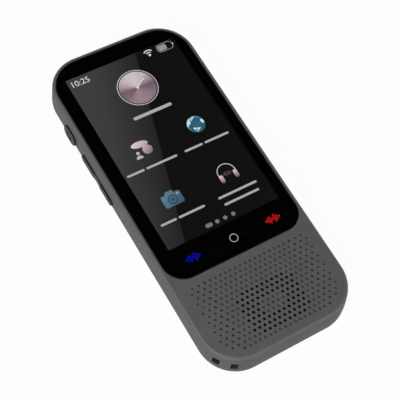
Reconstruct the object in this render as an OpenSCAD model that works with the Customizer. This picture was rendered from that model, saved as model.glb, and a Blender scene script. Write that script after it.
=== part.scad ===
// Handheld translator: two shells round a touch display, speaker, battery and board.
// The device lies on its back. X runs across the face, Y towards the top end and
// Z out of the screen. The origin is the middle of the flat back.

/* [Body] */
// Width of the housing across the face
body_w = 65.8; // [65:0.1:70]
// Length of the housing from end to end
body_l = 150.9; // [150:0.1:156]
// Thickness of the housing from back to face
body_t = 16; // [15.8:0.1:18]
// Radius of the four corners seen from the front
corner_r = 16; // [15:0.25:18]
// Rounding of the front edge
front_edge_r = 1.35; // [0.6:0.05:1.4]
// Rounding of the rear edge
rear_edge_r = 7; // [6.4:0.1:7.4]
// Thickness of the side walls and of the back
wall = 1.8; // [1.6:0.05:1.9]
// Height of the seam between the shells above the back
seam_z = 3.2; // [3:0.05:3.4]
// Plastic in front of the speaker
front_skin = 1.4; // [1.2:0.1:1.8]
// Wall between the display and the room behind it
mid_wall = 0.8; // [0.7:0.05:0.9]

/* [Snap joint of the shells] */
// Thickness of the lip that stands on the rear cover
lip_t = 1.2; // [1:0.1:1.4]
// Height of the lip above the seam
lip_h = 1.7; // [1.5:0.05:1.8]
// Clearance between the lip and the front cover at the seam
lip_gap = 0.15; // [0.1:0.05:0.3]
// Reach of each hook outwards from the lip
hook_reach = 0.65; // [0.4:0.05:0.7]
// Height of each hook
hook_h = 0.8; // [0.6:0.05:0.9]
// Length of each hook along the wall
hook_l = 6; // [4:0.5:9]
// Spacing of the hooks along each side
hook_pitch = 48; // [40:1:52]

/* [Glass and display] */
// Band of housing between the glass and the outside
rim_w = 1.7; // [1.7:0.05:2.2]
// Band of housing above the glass
top_rim = 1.57; // [1.55:0.01:2]
// Length of the plain area below the glass
chin_l = 40.23; // [39.5:0.01:41.5]
// Thickness of the cover glass
glass_t = 1.1; // [0.9:0.05:1.3]
// Corner radius of the glass at the top end
glass_top_r = 14.05; // [13:0.05:14.5]
// Corner radius of the glass at the speaker end
glass_low_r = 9; // [7:0.5:10]
// Gap round the glass
glass_gap = 0.15; // [0.1:0.05:0.15]
// Thickness of the tape under the glass
tape_t = 0.2; // [0.15:0.05:0.3]
// Band of glass beside the display module
lcd_side = 3.4; // [3.2:0.05:3.7]
// Band of glass below the display module
lcd_chin = 9.8; // [9.6:0.05:10.2]
// Thickness of the display module
lcd_t = 1.9; // [1.7:0.05:2.1]
// Distance from the top edge of the glass to the module
lcd_drop = 6.5; // [6.3:0.05:6.7]
// Air between the glass and the module
lcd_air = 0.15; // [0.1:0.01:0.2]
// Clearance round the module in its well
lcd_gap = 0.3; // [0.2:0.05:0.4]
// Thickness of the foam behind the module
foam_t = 0.3; // [0.2:0.05:0.4]
// Width of the foam frame
foam_w = 2.5; // [2:0.1:3]

/* [Touch keys] */
// Distance from the display module to the key board
key_board_drop = 1.4; // [1.3:0.05:1.5]
// Distance of the key board's ends from the sides of the glass
key_board_side = 6.2; // [6:0.1:7]
// Length of the key board
key_board_l = 5; // [4.6:0.1:5.4]
// Thickness of the key board
key_board_t = 0.4; // [0.3:0.05:0.5]
// Height of the key lights
key_led_h = 0.45; // [0.3:0.05:0.5]
// Side of the square key lights
key_led_w = 1.6; // [1.2:0.1:2]
// Distance of the outer key lights from the ends of the board
key_led_inset = 6.3; // [5:0.1:8]
// Thickness of the light guide over the lights
guide_t = 0.5; // [0.4:0.05:0.55]
// Width of the flat cables
flex_w = 3; // [2.4:0.1:3.2]
// Thickness of the flat cables
flex_t = 0.15; // [0.1:0.01:0.2]

/* [Grille] */
// Distance from the glass to the first row of holes
grille_drop = 4.22; // [4:0.05:4.6]
// Spacing of the rows
row_pitch = 2.139; // [2:0.01:2.2]
// Spacing of the holes in a row
hole_pitch = 2.282; // [2.1:0.01:2.3]
// Spacing of the outer holes in a row
outer_pitch = 2.806; // [2.5:0.01:2.9]
// Radius of the holes in the middle
hole_r = 0.54; // [0.4:0.02:0.6]
// Depth of the blind dimples
dimple_depth = 0.6; // [0.3:0.05:0.8]

/* [Side keys] */
// Distance of the power button from the top end
power_drop = 29.17; // [28.5:0.1:31]
// Length of the power button
power_l = 9.7; // [9:0.1:10]
// Height of the power button
power_h = 6.7; // [6:0.1:6.8]
// Distance of the middle of the volume key from the top end
volume_drop = 52.77; // [52:0.1:53.5]
// Length of the volume key
volume_l = 25.7; // [24:0.1:26]
// Height of the volume key
volume_h = 3.3; // [3:0.1:3.6]
// Stand of the keys out of the wall
key_stand = 0.75; // [0.5:0.05:0.9]
// Depth of the dip in the middle of the volume key
dip_depth = 0.42; // [0.2:0.02:0.48]
// Length of that dip along the key
dip_l = 7; // [5:0.5:8]
// Gap round the keys in the wall
key_gap = 0.15; // [0.1:0.01:0.2]
// Distance of the keys' middle from the face
key_z_drop = 8.15; // [8.1:0.05:8.3]
// Thickness of the flange that holds each key inside
flange_t = 0.6; // [0.5:0.05:0.65]
// Reach of the flange past the key at each end
flange_reach = 1.2; // [0.8:0.1:1.3]
// Room between a resting flange and the wall
flange_room = 0.1; // [0.08:0.01:0.15]
// Room that the tilting volume key needs at the wall
tilt_room = 0.38; // [0.35:0.01:0.4]
// Travel of the power button
power_travel = 0.35; // [0.33:0.01:0.38]
// Distance of the volume switches from the middle of the key
switch_arm = 8.5; // [7.5:0.1:9.5]

/* [Switches] */
// Depth of the switch housings off their board
switch_t = 1.2; // [1.1:0.05:1.25]
// Side of the square switch housings
switch_w = 3.4; // [3:0.1:3.6]
// Radius of the plungers
plunger_r = 0.8; // [0.6:0.05:1]
// Stand of a plunger out of its housing at the end of the power button's travel
plunger_left = 0.1; // [0.09:0.01:0.1]
// Length of a plunger inside its housing
plunger_in = 0.45; // [0.3:0.01:0.5]
// Clearance round a plunger
plunger_gap = 0.06; // [0.04:0.01:0.1]
// Gap between a key and the plunger that it presses
touch_gap = 0.05; // [0.03:0.01:0.08]
// Thickness of the board that carries the side switches
strip_t = 0.8; // [0.6:0.05:0.9]
// Distance of the reset pinhole from the top end
reset_drop = 71.05; // [70:0.05:72]
// Distance of the reset pinhole from the face
reset_z_drop = 8.15; // [8:0.05:8.4]
// Radius of the reset pinhole
reset_r = 0.5; // [0.4:0.05:0.7]

/* [Lanyard loop] */
// Direction of the loop from the corner's centre, in degrees from +X
lanyard_angle = 224; // [218:1:230]
// Width of the post that the cord goes round
lanyard_post_w = 4.05; // [3.5:0.05:4.5]
// Width of the slot on each side of the post
lanyard_slot_w = 3.5; // [3:0.1:3.8]
// Height of the slots
lanyard_slot_h = 5; // [4:0.1:5.4]
// Distance of the slots' middle from the face
lanyard_z_drop = 5.4; // [5.2:0.1:5.8]
// Thickness of the post
lanyard_post_t = 1.9; // [1.6:0.1:2.2]
// Depth of the channel behind the post
lanyard_channel = 2.7; // [2.2:0.1:3]
// Material left round the channel inside the housing
loop_wall = 1.4; // [1:0.1:1.6]

/* [Board] */
// Thickness of the main board
board_t = 1; // [0.8:0.05:1.2]
// Height of the bosses that the board is screwed to
boss_h = 1.75; // [1.7:0.05:1.9]
// Radius of those bosses
boss_r = 2.3; // [2:0.1:2.4]
// Radius of the pilot holes for the screws
pilot_r = 0.7; // [0.6:0.05:0.8]
// Radius of the screw shanks
screw_r = 0.65; // [0.5:0.05:0.65]
// Radius of the screw heads
head_r = 1.5; // [1.3:0.1:1.6]
// Height of the screw heads
head_h = 0.8; // [0.6:0.1:0.9]
// Clearance between the board and the walls
board_gap = 0.5; // [0.4:0.05:0.6]
// Distance of the board's lower edge from the top end
board_l = 44.45; // [44:0.1:45]
// Height of the shields over the chips
shield_h = 1.6; // [1.5:0.05:1.8]
// Sheet metal of the shields
shield_t = 0.2; // [0.15:0.01:0.3]
// Height of the chips
chip_h = 1.1; // [0.8:0.05:1.2]

/* [Connector] */
// Width of the USB-C shell
usb_w = 8.94; // [8.94:0.01:9]
// Height of the USB-C shell
usb_h = 3.26; // [3.2:0.01:3.3]
// Length of the USB-C shell
usb_l = 8.5; // [7.5:0.1:9]
// Sheet metal of the USB-C shell
usb_t = 0.3; // [0.25:0.01:0.35]
// Gap round the shell in the housing
usb_gap = 0.15; // [0.1:0.01:0.2]
// Radius of the microphone holes
mic_r = 0.5; // [0.4:0.05:0.6]
// Spacing of the two microphones
mic_pitch = 26; // [24:0.5:30]

/* [Battery] */
// Room between the battery and the wall beside it
battery_side = 5.1; // [5.1:0.1:8]
// Room between the battery and the speaker's room
battery_end = 4.72; // [3:0.05:8]
// Thickness of the battery
battery_t = 7; // [6.5:0.1:7.4]
// Distance from the board to the battery's end
battery_drop = 5; // [4.8:0.1:6]

/* [Speaker] */
// Width of the speaker frame
speaker_w = 32; // [31:0.1:33]
// Height of the speaker frame along the body
speaker_l = 24; // [23:0.1:25]
// Depth of the speaker frame
speaker_t = 5; // [4.6:0.1:5.4]
// Radius of the diaphragm's seat
cone_r = 10; // [9.5:0.1:10.5]
// Radius of the magnet
magnet_r = 7.5; // [7:0.1:8]
// Depth of the magnet
magnet_t = 3.2; // [3:0.1:3.6]
// Thickness of the gasket in front of the frame
gasket_t = 0.8; // [0.6:0.05:1]
// Thickness of the dust mesh
mesh_t = 0.2; // [0.1:0.05:0.25]
// Distance of the speaker screws from the sides of the frame
speaker_ear = 3.5; // [3.2:0.1:4.5]
// Radius of the speaker wires
wire_r = 0.4; // [0.3:0.05:0.45]

/* [Camera] */
// Distance of the camera from the right side of the body
camera_side = 16.9; // [15:0.1:17.2]
// Distance of the camera from the top end
camera_drop = 17.45; // [17:0.1:18]
// Radius of the trim ring round the camera
camera_ring_r = 5.6; // [5.2:0.1:6]
// Radius of the window in that ring
window_r = 4.25; // [3.9:0.05:4.4]
// Thickness of the window
window_t = 0.8; // [0.6:0.05:0.9]
// Side of the camera module
camera_w = 8.5; // [8:0.1:8.8]
// Distance of the flash from the camera
flash_drop = 11; // [10.5:0.1:12]
// Radius of the flash lens
flash_r = 2.6; // [2.2:0.1:2.8]
// Recess of the ring and the lens under the back
rear_recess = 0.1; // [0.05:0.01:0.2]

/* [Hidden] */
$fn = 64;
eps = 0.5;          // reach of a cutting tool past the face that it cuts
bond = 0.1;         // depth to which a boss or rib is rooted in the wall that carries it
room_wall = 1.5;    // between the glass ledge and the speaker room
mid_row = 9;        // row of holes over the middle of the speaker

half_w = body_w / 2;
half_l = body_l / 2;
side_x = half_w - wall;                       // inner face of the side walls

// levels, from the face down
glass_z = body_t - glass_t;                   // underside of the glass
ledge_z = glass_z - tape_t;                   // ledge that the tape lies on
lcd_top = glass_z - lcd_air;
lcd_low = lcd_top - lcd_t;
mid_top = lcd_low - foam_t;
mid_low = mid_top - mid_wall;                 // ceiling of the rear room
skin_z = body_t - front_skin;                 // ceiling of the speaker room
board_top = mid_low - boss_h;
board_low = board_top - board_t;

// places along the body
glass_top_y = half_l - top_rim;
glass_low_y = chin_l - half_l;
glass_half_w = half_w - rim_w;
lcd_w = 2 * (glass_half_w - lcd_side);
lcd_top_y = glass_top_y - lcd_drop;
lcd_low_y = glass_low_y + lcd_chin;
key_board_w = 2 * (glass_half_w - key_board_side);
key_pitch = key_board_w / 2 - key_led_inset;  // spacing of the three key lights
key_top_y = lcd_low_y - key_board_drop;
key_low_y = key_top_y - key_board_l;
room_y = glass_low_y - room_wall;             // end wall of the speaker room
row_0_y = glass_low_y - grille_drop;
speaker_y = row_0_y - mid_row * row_pitch;
speaker_screw_x = speaker_w / 2 + speaker_ear;
board_low_y = half_l - board_l;
battery_top_y = board_low_y - battery_drop;
battery_l = battery_top_y - room_y - battery_end;

// the side keys, from the outside in
plunger_room = 1.45;
plunger_stand = power_travel + plunger_left;  // stand of a resting plunger out of its housing
key_z = body_t - key_z_drop;
power_y = half_l - power_drop;
volume_y = half_l - volume_drop;
reset_y = half_l - reset_drop;
reset_z = body_t - reset_z_drop;
key_face_x = -half_w - key_stand;
flange_x = -side_x + flange_room;             // outer face of the power flange
rock_x = -side_x + tilt_room;                 // outer face of the volume flange
plunger_x = -side_x + plunger_room;           // tip of a resting plunger
switch_x = plunger_x + plunger_stand;
strip_x = switch_x + switch_t;
strip_back_x = strip_x + strip_t;
strip_top_y = power_y + 7;
strip_low_y = reset_y - 3.5;
strip_low_z = seam_z + lip_h + 0.2;
rib_t = 1;
rib_w = 3;
inner_x = strip_back_x + rib_t + 0.3;         // left edge of the board beside the strip
battery_x = inner_x + 0.4;                    // left edge of the battery
battery_w = side_x - battery_side - battery_x;
power_flange_h = 6;
volume_flange_h = 4.8;
nub_r = plunger_r + 0.25;                     // nubs of the keys, over the plungers
pivot_r = 0.5;                                // round rib that the volume key rocks on
pivot_gap = 0.06;
pivot_x = -side_x + pivot_gap + pivot_r;
pocket_low = key_z - power_h / 2 - 0.1;       // floor of the pocket behind the keys
battery_z = mid_low - tape_t - battery_t;

lanyard_z = body_t - lanyard_z_drop;
camera_x = half_w - camera_side;
camera_y = half_l - camera_drop;
flash_y = camera_y - flash_drop;
usb_y = half_l - 0.3;
usb_z = board_low - usb_h / 2;
mic_z = board_top + 0.9;

// the board's four screws, from the sides of the body, its top end and the board's lower edge
boss_side = 10.9;
boss_low_side = 12.9;
boss_top = 9.45;
boss_low = 4.5;
boss_spots = [
    [boss_side - half_w, half_l - boss_top], [half_w - boss_side, half_l - boss_top],
    [boss_low_side - half_w, board_low_y + boss_low], [half_w - boss_low_side, board_low_y + boss_low]
];
pilot_extra = 0.3;                            // the board's pilot holes run on into the wall
screw_hole_r = screw_r + 0.25;
socket_w = 1.4;                               // hexagonal sockets of the screws
socket_depth = 0.4;
wire_z = mid_low - wire_r - 0.05;

// shields and chips under the board: the shields' corners, and the chips' margins inside them
processor_shield_x = boss_side - half_w;
processor_shield_y = board_low_y + boss_low + 5;
processor_shield_w = 22;
processor_shield_l = 20;
radio_shield_x = 4;
radio_shield_y = board_low_y + boss_low + 3;
radio_shield_w = half_w - 6.9 - radio_shield_x;
radio_shield_l = 13;
chip_margin = 1.5;
processor_w = 12;
memory_w = 6.5;
memory_l = 9;
radio_chip_w = 9;

// ---------- outlines and solids that several pieces share ----------

// rounded rectangle of half width hw between two heights, with its own radius at each end
module end_outline(hw, low, high, low_r, high_r) {
    translate([-hw, low + low_r]) square([2 * hw, high - low - low_r - high_r]);
    translate([-hw + low_r, low]) square([2 * (hw - low_r), low_r + 0.01]);
    translate([-hw + high_r, high - high_r - 0.01]) square([2 * (hw - high_r), high_r + 0.01]);
    for (s = [-1, 1]) {
        translate([s * (hw - low_r), low + low_r]) circle(r = low_r);
        translate([s * (hw - high_r), high - high_r]) circle(r = high_r);
    }
}

// outline of the body, drawn in by inset
module body_outline(inset) {
    end_outline(half_w - inset, inset - half_l, half_l - inset, corner_r - inset, corner_r - inset);
}

module quarter_disc(r) {
    intersection() {
        circle(r = r);
        square(r);
    }
}

// section of the wall at radius r from the corner's axis, rounded low_r below and high_r above
module edge_section(r, low, high, low_r, high_r) {
    translate([0, low]) square([r - low_r, high - low]);
    translate([0, low + low_r]) square([r, high - low - low_r - high_r]);
    translate([r - low_r, low + low_r]) mirror([0, 1]) quarter_disc(low_r);
    if (high_r > 0) {
        translate([0, low + low_r]) square([r - high_r, high - low - low_r]);
        translate([r - high_r, high - high_r]) quarter_disc(high_r);
    }
}

// the body's shape drawn in by inset, between two heights
module rounded_body(inset, low, high, low_r, high_r) {
    core_w = half_w - corner_r;
    core_l = half_l - corner_r;
    r = corner_r - inset;
    for (a = [0, 1], b = [0, 1])
        mirror([a, 0, 0]) mirror([0, b, 0]) translate([core_w, core_l, 0])
            rotate_extrude(angle = 90) edge_section(r, low, high, low_r, high_r);
    for (a = [0, 1]) {
        mirror([a, 0, 0]) translate([core_w, core_l, 0]) rotate([90, 0, 0])
            linear_extrude(2 * core_l) edge_section(r, low, high, low_r, high_r);
        mirror([0, a, 0]) translate([-core_w, core_l, 0]) rotate([90, 0, 90])
            linear_extrude(2 * core_w) edge_section(r, low, high, low_r, high_r);
    }
    translate([-core_w, -core_l, low]) cube([2 * core_w, 2 * core_l, high - low]);
}

module outer_body() {
    rounded_body(0, 0, body_t, rear_edge_r, front_edge_r);
}

module rear_room() {
    rounded_body(wall, wall, mid_low, rear_edge_r - wall, 0);
}

// box between two corners
module block(low, high) {
    translate(low) cube(high - low);
}

// stadium prism along X, from x0 to x1, of full length l along Y and height h
module side_pill(x0, x1, y, z, l, h) {
    for (s = [-1, 1])
        translate([x0, y + s * (l - h) / 2, z]) rotate([0, 90, 0]) cylinder(h = x1 - x0, d = h);
    translate([x0, y - (l - h) / 2, z - h / 2]) cube([x1 - x0, l - h, h]);
}

// stadium prism along Y, from y0 to y1, of full width w and height h
module end_pill(y0, y1, z, w, h) {
    for (s = [-1, 1])
        translate([s * (w - h) / 2, y0, z]) rotate([-90, 0, 0]) cylinder(h = y1 - y0, d = h);
    translate([-(w - h) / 2, y0, z - h / 2]) cube([w - h, y1 - y0, h]);
}

// plate with rounded corners, centred on a point
module round_plate(x, y, z, w, l, t, r) {
    translate([x, y, z]) linear_extrude(t) end_outline(w / 2, -l / 2, l / 2, r, r);
}

// ---------- grille ----------

// place of hole k of a row: the holes spread out past the sixteenth half step
function hole_x(k) = sign(k) * (abs(k) <= 16 ? abs(k) * hole_pitch / 2
    : 8 * hole_pitch + (abs(k) - 16) * outer_pitch / 2);
function last_hole(row) = row == 14 ? 17 : row == 13 ? 20 : row % 2 == 0 ? 21 : 22;
function hole_size(k) = hole_r * (abs(k) >= 21 ? 0.68 : abs(k) >= 19 ? 0.78 : abs(k) >= 17 ? 0.92 : 1);
// the speaker's holes go through, all round a closed middle
function is_open(row, k) = abs(row - 9) <= 4 && abs(k) <= (abs(row - 9) == 4 ? 9 : 11)
    && !(abs(row - 9) <= 1 && abs(k) < 5);

module grille_cuts() {
    for (row = [0:14], k = [-last_hole(row):2:last_hole(row)]) {
        depth = is_open(row, k) ? front_skin + eps : dimple_depth;
        translate([hole_x(k), row_0_y - row * row_pitch, body_t - depth])
            cylinder(h = depth + eps, r = hole_size(k), $fn = 24);
    }
}

// ---------- lanyard loop ----------

// sector of a ring, reaching an angle a to each side of +X
module ring_sector(r0, r1, a) {
    intersection() {
        difference() {
            circle(r = r1);
            circle(r = r0);
        }
        polygon([[0, 0], 2 * r1 * [cos(a), -sin(a)], 2 * r1 * [cos(a), sin(a)]]);
    }
}

// extrude a shape drawn round the corner's axis, towards the loop, between two heights
module at_lanyard(low, high) {
    translate([corner_r - half_w, corner_r - half_l, low])
        rotate([0, 0, lanyard_angle]) linear_extrude(high - low) children();
}

post_angle = lanyard_post_w / corner_r * 90 / PI;
slot_angle = post_angle + lanyard_slot_w / corner_r * 180 / PI;
channel_r = corner_r - lanyard_post_t - lanyard_channel;
slot_low = lanyard_z - lanyard_slot_h / 2;

// block inside the corner that the channel is cut in; it hangs from the front skin
module lanyard_block() {
    block_angle = slot_angle + loop_wall / channel_r * 180 / PI;
    at_lanyard(slot_low - loop_wall, skin_z + bond)
        ring_sector(channel_r - loop_wall, corner_r - wall / 2, block_angle);
}

// a channel behind the post, open through the wall on each side of it
module lanyard_cuts() {
    at_lanyard(slot_low, slot_low + lanyard_slot_h) difference() {
        ring_sector(channel_r, corner_r + eps, slot_angle);
        ring_sector(corner_r - lanyard_post_t, corner_r + 2 * eps, post_angle);
    }
}

// ---------- shells ----------

key_slot_x = key_board_w / 2 + 1.7;           // slot where the key cable goes through
key_slot_y = key_low_y + 0.5;
key_slot_w = 0.9;

module glass_wells() {
    translate([0, 0, ledge_z]) linear_extrude(body_t)
        end_outline(glass_half_w + glass_gap, glass_low_y - glass_gap, glass_top_y + glass_gap,
            glass_low_r + glass_gap, glass_top_r + glass_gap);
    block([-lcd_w / 2 - lcd_gap, lcd_low_y - lcd_gap, mid_top],
        [lcd_w / 2 + lcd_gap, lcd_top_y + lcd_gap, body_t]);
    translate([0, 0, key_floor_z]) linear_extrude(body_t) key_well_outline();
}

key_floor_z = glass_z - guide_t - key_led_h - key_board_t - 0.25;   // floor of the key board's well

module key_well_outline() {
    translate([-key_board_w / 2 - lcd_gap, key_low_y - lcd_gap])
        square([key_board_w + 2 * lcd_gap, key_board_l + 2 * lcd_gap]);
    translate([0, key_slot_y - lcd_gap]) square([key_slot_x + key_slot_w, flex_w + 2 * lcd_gap]);
}

module cable_slots() {
    block([key_slot_x, key_slot_y - lcd_gap, mid_low - eps],
        [key_slot_x + key_slot_w, key_slot_y + flex_w + lcd_gap, body_t]);
    block([-display_flex_w / 2 - lcd_gap, display_bend_y - 0.6, mid_low - eps],
        [display_flex_w / 2 + lcd_gap, display_bend_y + 0.8, mid_top + eps]);
}

// flat pocket behind the side keys, where the wall would curl in under them
module key_pocket() {
    block([-side_x, strip_low_y - 0.5, pocket_low], [strip_back_x, strip_top_y + 0.5, mid_low]);
}

module wall_cuts() {
    side_pill(-half_w - eps, -side_x + eps, power_y, key_z, power_l + 2 * key_gap, power_h + 2 * key_gap);
    side_pill(-half_w - eps, -side_x + eps, volume_y, key_z, volume_l + 2 * key_gap, volume_h + 2 * key_gap);
    translate([-half_w - eps, reset_y, reset_z]) rotate([0, 90, 0]) cylinder(h = wall + 2 * eps, r = reset_r);
    end_pill(half_l - wall - 4, half_l + eps, usb_z, usb_w + 2 * usb_gap, usb_h + 2 * usb_gap);
    for (s = [-1, 1])
        translate([s * mic_pitch / 2, half_l - wall - eps, mic_z]) rotate([-90, 0, 0])
            cylinder(h = wall + 2 * eps, r = mic_r);
}

module strip_ribs() {
    for (y = [power_y, volume_y + switch_arm, volume_y - switch_arm, reset_y])
        block([strip_back_x, y - rib_w / 2, strip_low_z + 0.5],
            [strip_back_x + rib_t, y + rib_w / 2, mid_low]);
}

module front_cover() {
    color("#5c5c5e") difference() {
        union() {
            difference() {
                outer_body();
                translate([-body_w, -body_l, -body_t]) cube([2 * body_w, 2 * body_l, body_t + seam_z]);
                rear_room();
                intersection() {
                    translate([0, 0, mid_low - eps])
                        linear_extrude(skin_z - mid_low + eps) body_outline(wall);
                    block([-body_w, -body_l, 0], [body_w, room_y, body_t]);
                }
                key_pocket();
            }
            for (p = boss_spots) translate([p[0], p[1], board_top]) cylinder(h = boss_h + bond, r = boss_r);
            for (s = [-1, 1])
                translate([s * speaker_screw_x, speaker_y, ear_z + ear_t])
                    cylinder(h = skin_z - ear_z - ear_t + bond, r = speaker_boss_r);
            strip_ribs();
            lanyard_block();
        }
        glass_wells();
        cable_slots();
        grille_cuts();
        lanyard_cuts();
        wall_cuts();
        for (p = boss_spots)
            translate([p[0], p[1], board_top - eps]) cylinder(h = boss_h + eps + pilot_extra, r = pilot_r);
        for (s = [-1, 1])
            translate([s * speaker_screw_x, speaker_y, ear_z])
                cylinder(h = skin_z - ear_z - 0.2, r = pilot_r);
    }
}

// inset of the room's curved wall at height z
function room_inset(z) = rear_edge_r - sqrt(pow(rear_edge_r - wall, 2) - pow(rear_edge_r - z, 2));
lip_inset = room_inset(seam_z) + lip_gap;

trim_gap = 0.05;                              // round the camera's ring and the flash lens
lip_root = 1.1;                               // depth to which the lip is rooted in the rear cover

module rear_cover() {
    color("#545456") difference() {
        union() {
            difference() {
                outer_body();
                translate([-body_w, -body_l, seam_z]) cube([2 * body_w, 2 * body_l, body_t]);
                rear_room();
            }
            difference() {
                translate([0, 0, seam_z - lip_root]) linear_extrude(lip_h + lip_root) body_outline(lip_inset);
                translate([0, 0, wall]) linear_extrude(body_t) body_outline(lip_inset + lip_t);
            }
            for (s = [-1, 1], i = [-1:1])
                translate([s * (half_w - lip_inset + hook_reach / 2 - 0.2), i * hook_pitch,
                    seam_z + lip_h - hook_h / 2]) cube([hook_reach + 0.4, hook_l, hook_h], center = true);
            for (s = [-1, 1])
                translate([camera_x + s * flash_post_x, flash_y, wall - bond])
                    cylinder(h = flash_board_z - wall + bond, r = 0.7);
        }
        translate([camera_x, camera_y, -eps]) cylinder(h = wall + 2 * eps, r = camera_ring_r + trim_gap);
        translate([camera_x, flash_y, -eps]) cylinder(h = wall + 2 * eps, r = flash_r + trim_gap);
    }
}

// ---------- glass and display ----------

module cover_glass() {
    color("#101012") translate([0, 0, glass_z]) linear_extrude(glass_t)
        end_outline(glass_half_w, glass_low_y, glass_top_y, glass_low_r, glass_top_r);
}

module glass_tape() {
    edge = 0.35;
    color("#1c1c1c") difference() {
        translate([0, 0, ledge_z]) linear_extrude(tape_t)
            end_outline(glass_half_w - edge, glass_low_y + edge, glass_top_y - edge,
                glass_low_r - edge, glass_top_r - edge);
        block([-lcd_w / 2 - lcd_gap, lcd_low_y - lcd_gap, 0],
            [lcd_w / 2 + lcd_gap, lcd_top_y + lcd_gap, body_t]);
        linear_extrude(body_t) key_well_outline();
    }
}

module lcd_panel() {
    color("#202226") block([-lcd_w / 2, lcd_low_y, lcd_low], [lcd_w / 2, lcd_top_y, lcd_top]);
}

module display_foam() {
    color("#2a2a2a") difference() {
        block([-lcd_w / 2, lcd_low_y, mid_top], [lcd_w / 2, lcd_top_y, lcd_low]);
        block([-lcd_w / 2 + foam_w, lcd_low_y + foam_w, 0], [lcd_w / 2 - foam_w, lcd_top_y - foam_w, body_t]);
    }
}

display_flex_w = 18;
display_bend_drop = 8.6;                      // from the module's top edge to the bend
display_bend_y = lcd_top_y - display_bend_drop;
display_plug_l = 3;
display_plug_h = 0.9;
display_plug_y = display_bend_y - 1;          // upper edge of the connector

// the cable leaves the back of the module, goes down through the slot and ends on its plug
module display_flex() {
    color("#a5641e") {
        block([-display_flex_w / 2, display_bend_y, lcd_low - flex_t],
            [display_flex_w / 2, lcd_top_y - foam_w - 1, lcd_low]);
        block([-display_flex_w / 2, display_bend_y, board_top + display_plug_h],
            [display_flex_w / 2, display_bend_y + flex_t, lcd_low]);
        block([-display_flex_w / 2, display_plug_y - display_plug_l, board_top + display_plug_h],
            [display_flex_w / 2, display_bend_y + flex_t, board_top + display_plug_h + flex_t]);
    }
}

module display_connector() {
    color("#d8d4c8") block([-display_flex_w / 2 + 1, display_plug_y - display_plug_l, board_top],
        [display_flex_w / 2 - 1, display_plug_y, board_top + display_plug_h]);
}

// ---------- touch keys under the glass ----------

module touch_key_board() {
    color("#1d4d2b") block([-key_board_w / 2, key_low_y, key_floor_z],
        [key_board_w / 2, key_top_y, key_floor_z + key_board_t]);
}

module key_lights() {
    color("#efe9c8") for (i = [-1:1])
        translate([i * key_pitch, (key_low_y + key_top_y) / 2, key_floor_z + key_board_t + key_led_h / 2])
            cube([key_led_w, key_led_w, key_led_h], center = true);
}

module key_light_guide() {
    color("#e8e8e8") block([-key_board_w / 2, key_low_y, key_floor_z + key_board_t + key_led_h],
        [key_board_w / 2, key_top_y, key_floor_z + key_board_t + key_led_h + guide_t]);
}

key_plug_y = board_low_y + 5;

module key_flex() {
    x0 = key_board_w / 2;
    x1 = key_slot_x + key_slot_w - lcd_gap;
    color("#a5641e") {
        block([x0, key_slot_y, key_floor_z + 0.1], [x1, key_slot_y + flex_w, key_floor_z + 0.1 + flex_t]);
        block([x1 - flex_t, key_slot_y, mid_low - flex_t],
            [x1, key_slot_y + flex_w, key_floor_z + 0.1 + flex_t]);
        block([x1 - flex_w, key_slot_y, mid_low - flex_t], [x1, key_plug_y, mid_low]);
    }
}

module key_connector() {
    x1 = key_slot_x + key_slot_w - lcd_gap;
    color("#d8d4c8") block([x1 - flex_w, key_plug_y - 3, board_top], [x1, key_plug_y, mid_low - flex_t]);
}

// ---------- side keys and their switches ----------

// plate inside the wall that keeps a key from falling out
module key_flange(x, y, l, h) {
    block([x, y - l / 2 - flange_reach, key_z - h / 2],
        [x + flange_t, y + l / 2 + flange_reach, key_z + h / 2]);
}

module power_button() {
    color("#3a3a3c") {
        side_pill(key_face_x, flange_x + bond, power_y, key_z, power_l, power_h);
        key_flange(flange_x, power_y, power_l, power_flange_h);
        translate([flange_x, power_y, key_z]) rotate([0, 90, 0])
            cylinder(h = plunger_x - touch_gap - flange_x, r = nub_r);
    }
}

// one key, rocking on a round rib at its middle; the dip marks the rib's place
module volume_rocker() {
    dip_r = (pow(dip_l / 2, 2) + pow(dip_depth, 2)) / (2 * dip_depth);
    color("#3a3a3c") difference() {
        union() {
            side_pill(key_face_x, rock_x + bond, volume_y, key_z, volume_l, volume_h);
            key_flange(rock_x, volume_y, volume_l, volume_flange_h);
            for (s = [-1, 1])
                translate([rock_x, volume_y + s * switch_arm, key_z]) rotate([0, 90, 0])
                    cylinder(h = plunger_x - touch_gap - rock_x, r = nub_r);
            translate([pivot_x, volume_y, key_z - volume_flange_h / 2])
                cylinder(h = volume_flange_h, r = pivot_r);
        }
        translate([key_face_x - dip_r + dip_depth, volume_y, key_z - volume_h])
            cylinder(h = 2 * volume_h, r = dip_r, $fn = 256);
    }
}

module side_switch_board() {
    color("#1d4d2b") block([strip_x, strip_low_y, strip_low_z], [strip_back_x, strip_top_y, mid_low]);
}

// flat cable from the side board to the underside of the main board
module side_switch_flex() {
    y = (power_y + volume_y + switch_arm) / 2;
    color("#a5641e")
        block([strip_back_x, y - flex_w / 2, board_low - flex_t], [inner_x + 2.4, y + flex_w / 2, board_low]);
}

switch_back = 0.25;                           // back wall of a switch housing

module switch_housing(y, z) {
    difference() {
        translate([switch_x, y - switch_w / 2, z - switch_w / 2]) cube([switch_t, switch_w, switch_w]);
        translate([switch_x - eps, y, z]) rotate([0, 90, 0])
            cylinder(h = eps + switch_t - switch_back, r = plunger_r + plunger_gap);
    }
}

module plunger(y, z) {
    translate([plunger_x, y, z]) rotate([0, 90, 0]) cylinder(h = plunger_stand + plunger_in, r = plunger_r);
}

module power_switch() {
    color("#c8c8c8") switch_housing(power_y, key_z);
}

module power_plunger() {
    color("#222222") plunger(power_y, key_z);
}

module volume_switches() {
    color("#c8c8c8") for (s = [-1, 1]) switch_housing(volume_y + s * switch_arm, key_z);
}

module volume_up_plunger() {
    color("#222222") plunger(volume_y + switch_arm, key_z);
}

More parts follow.
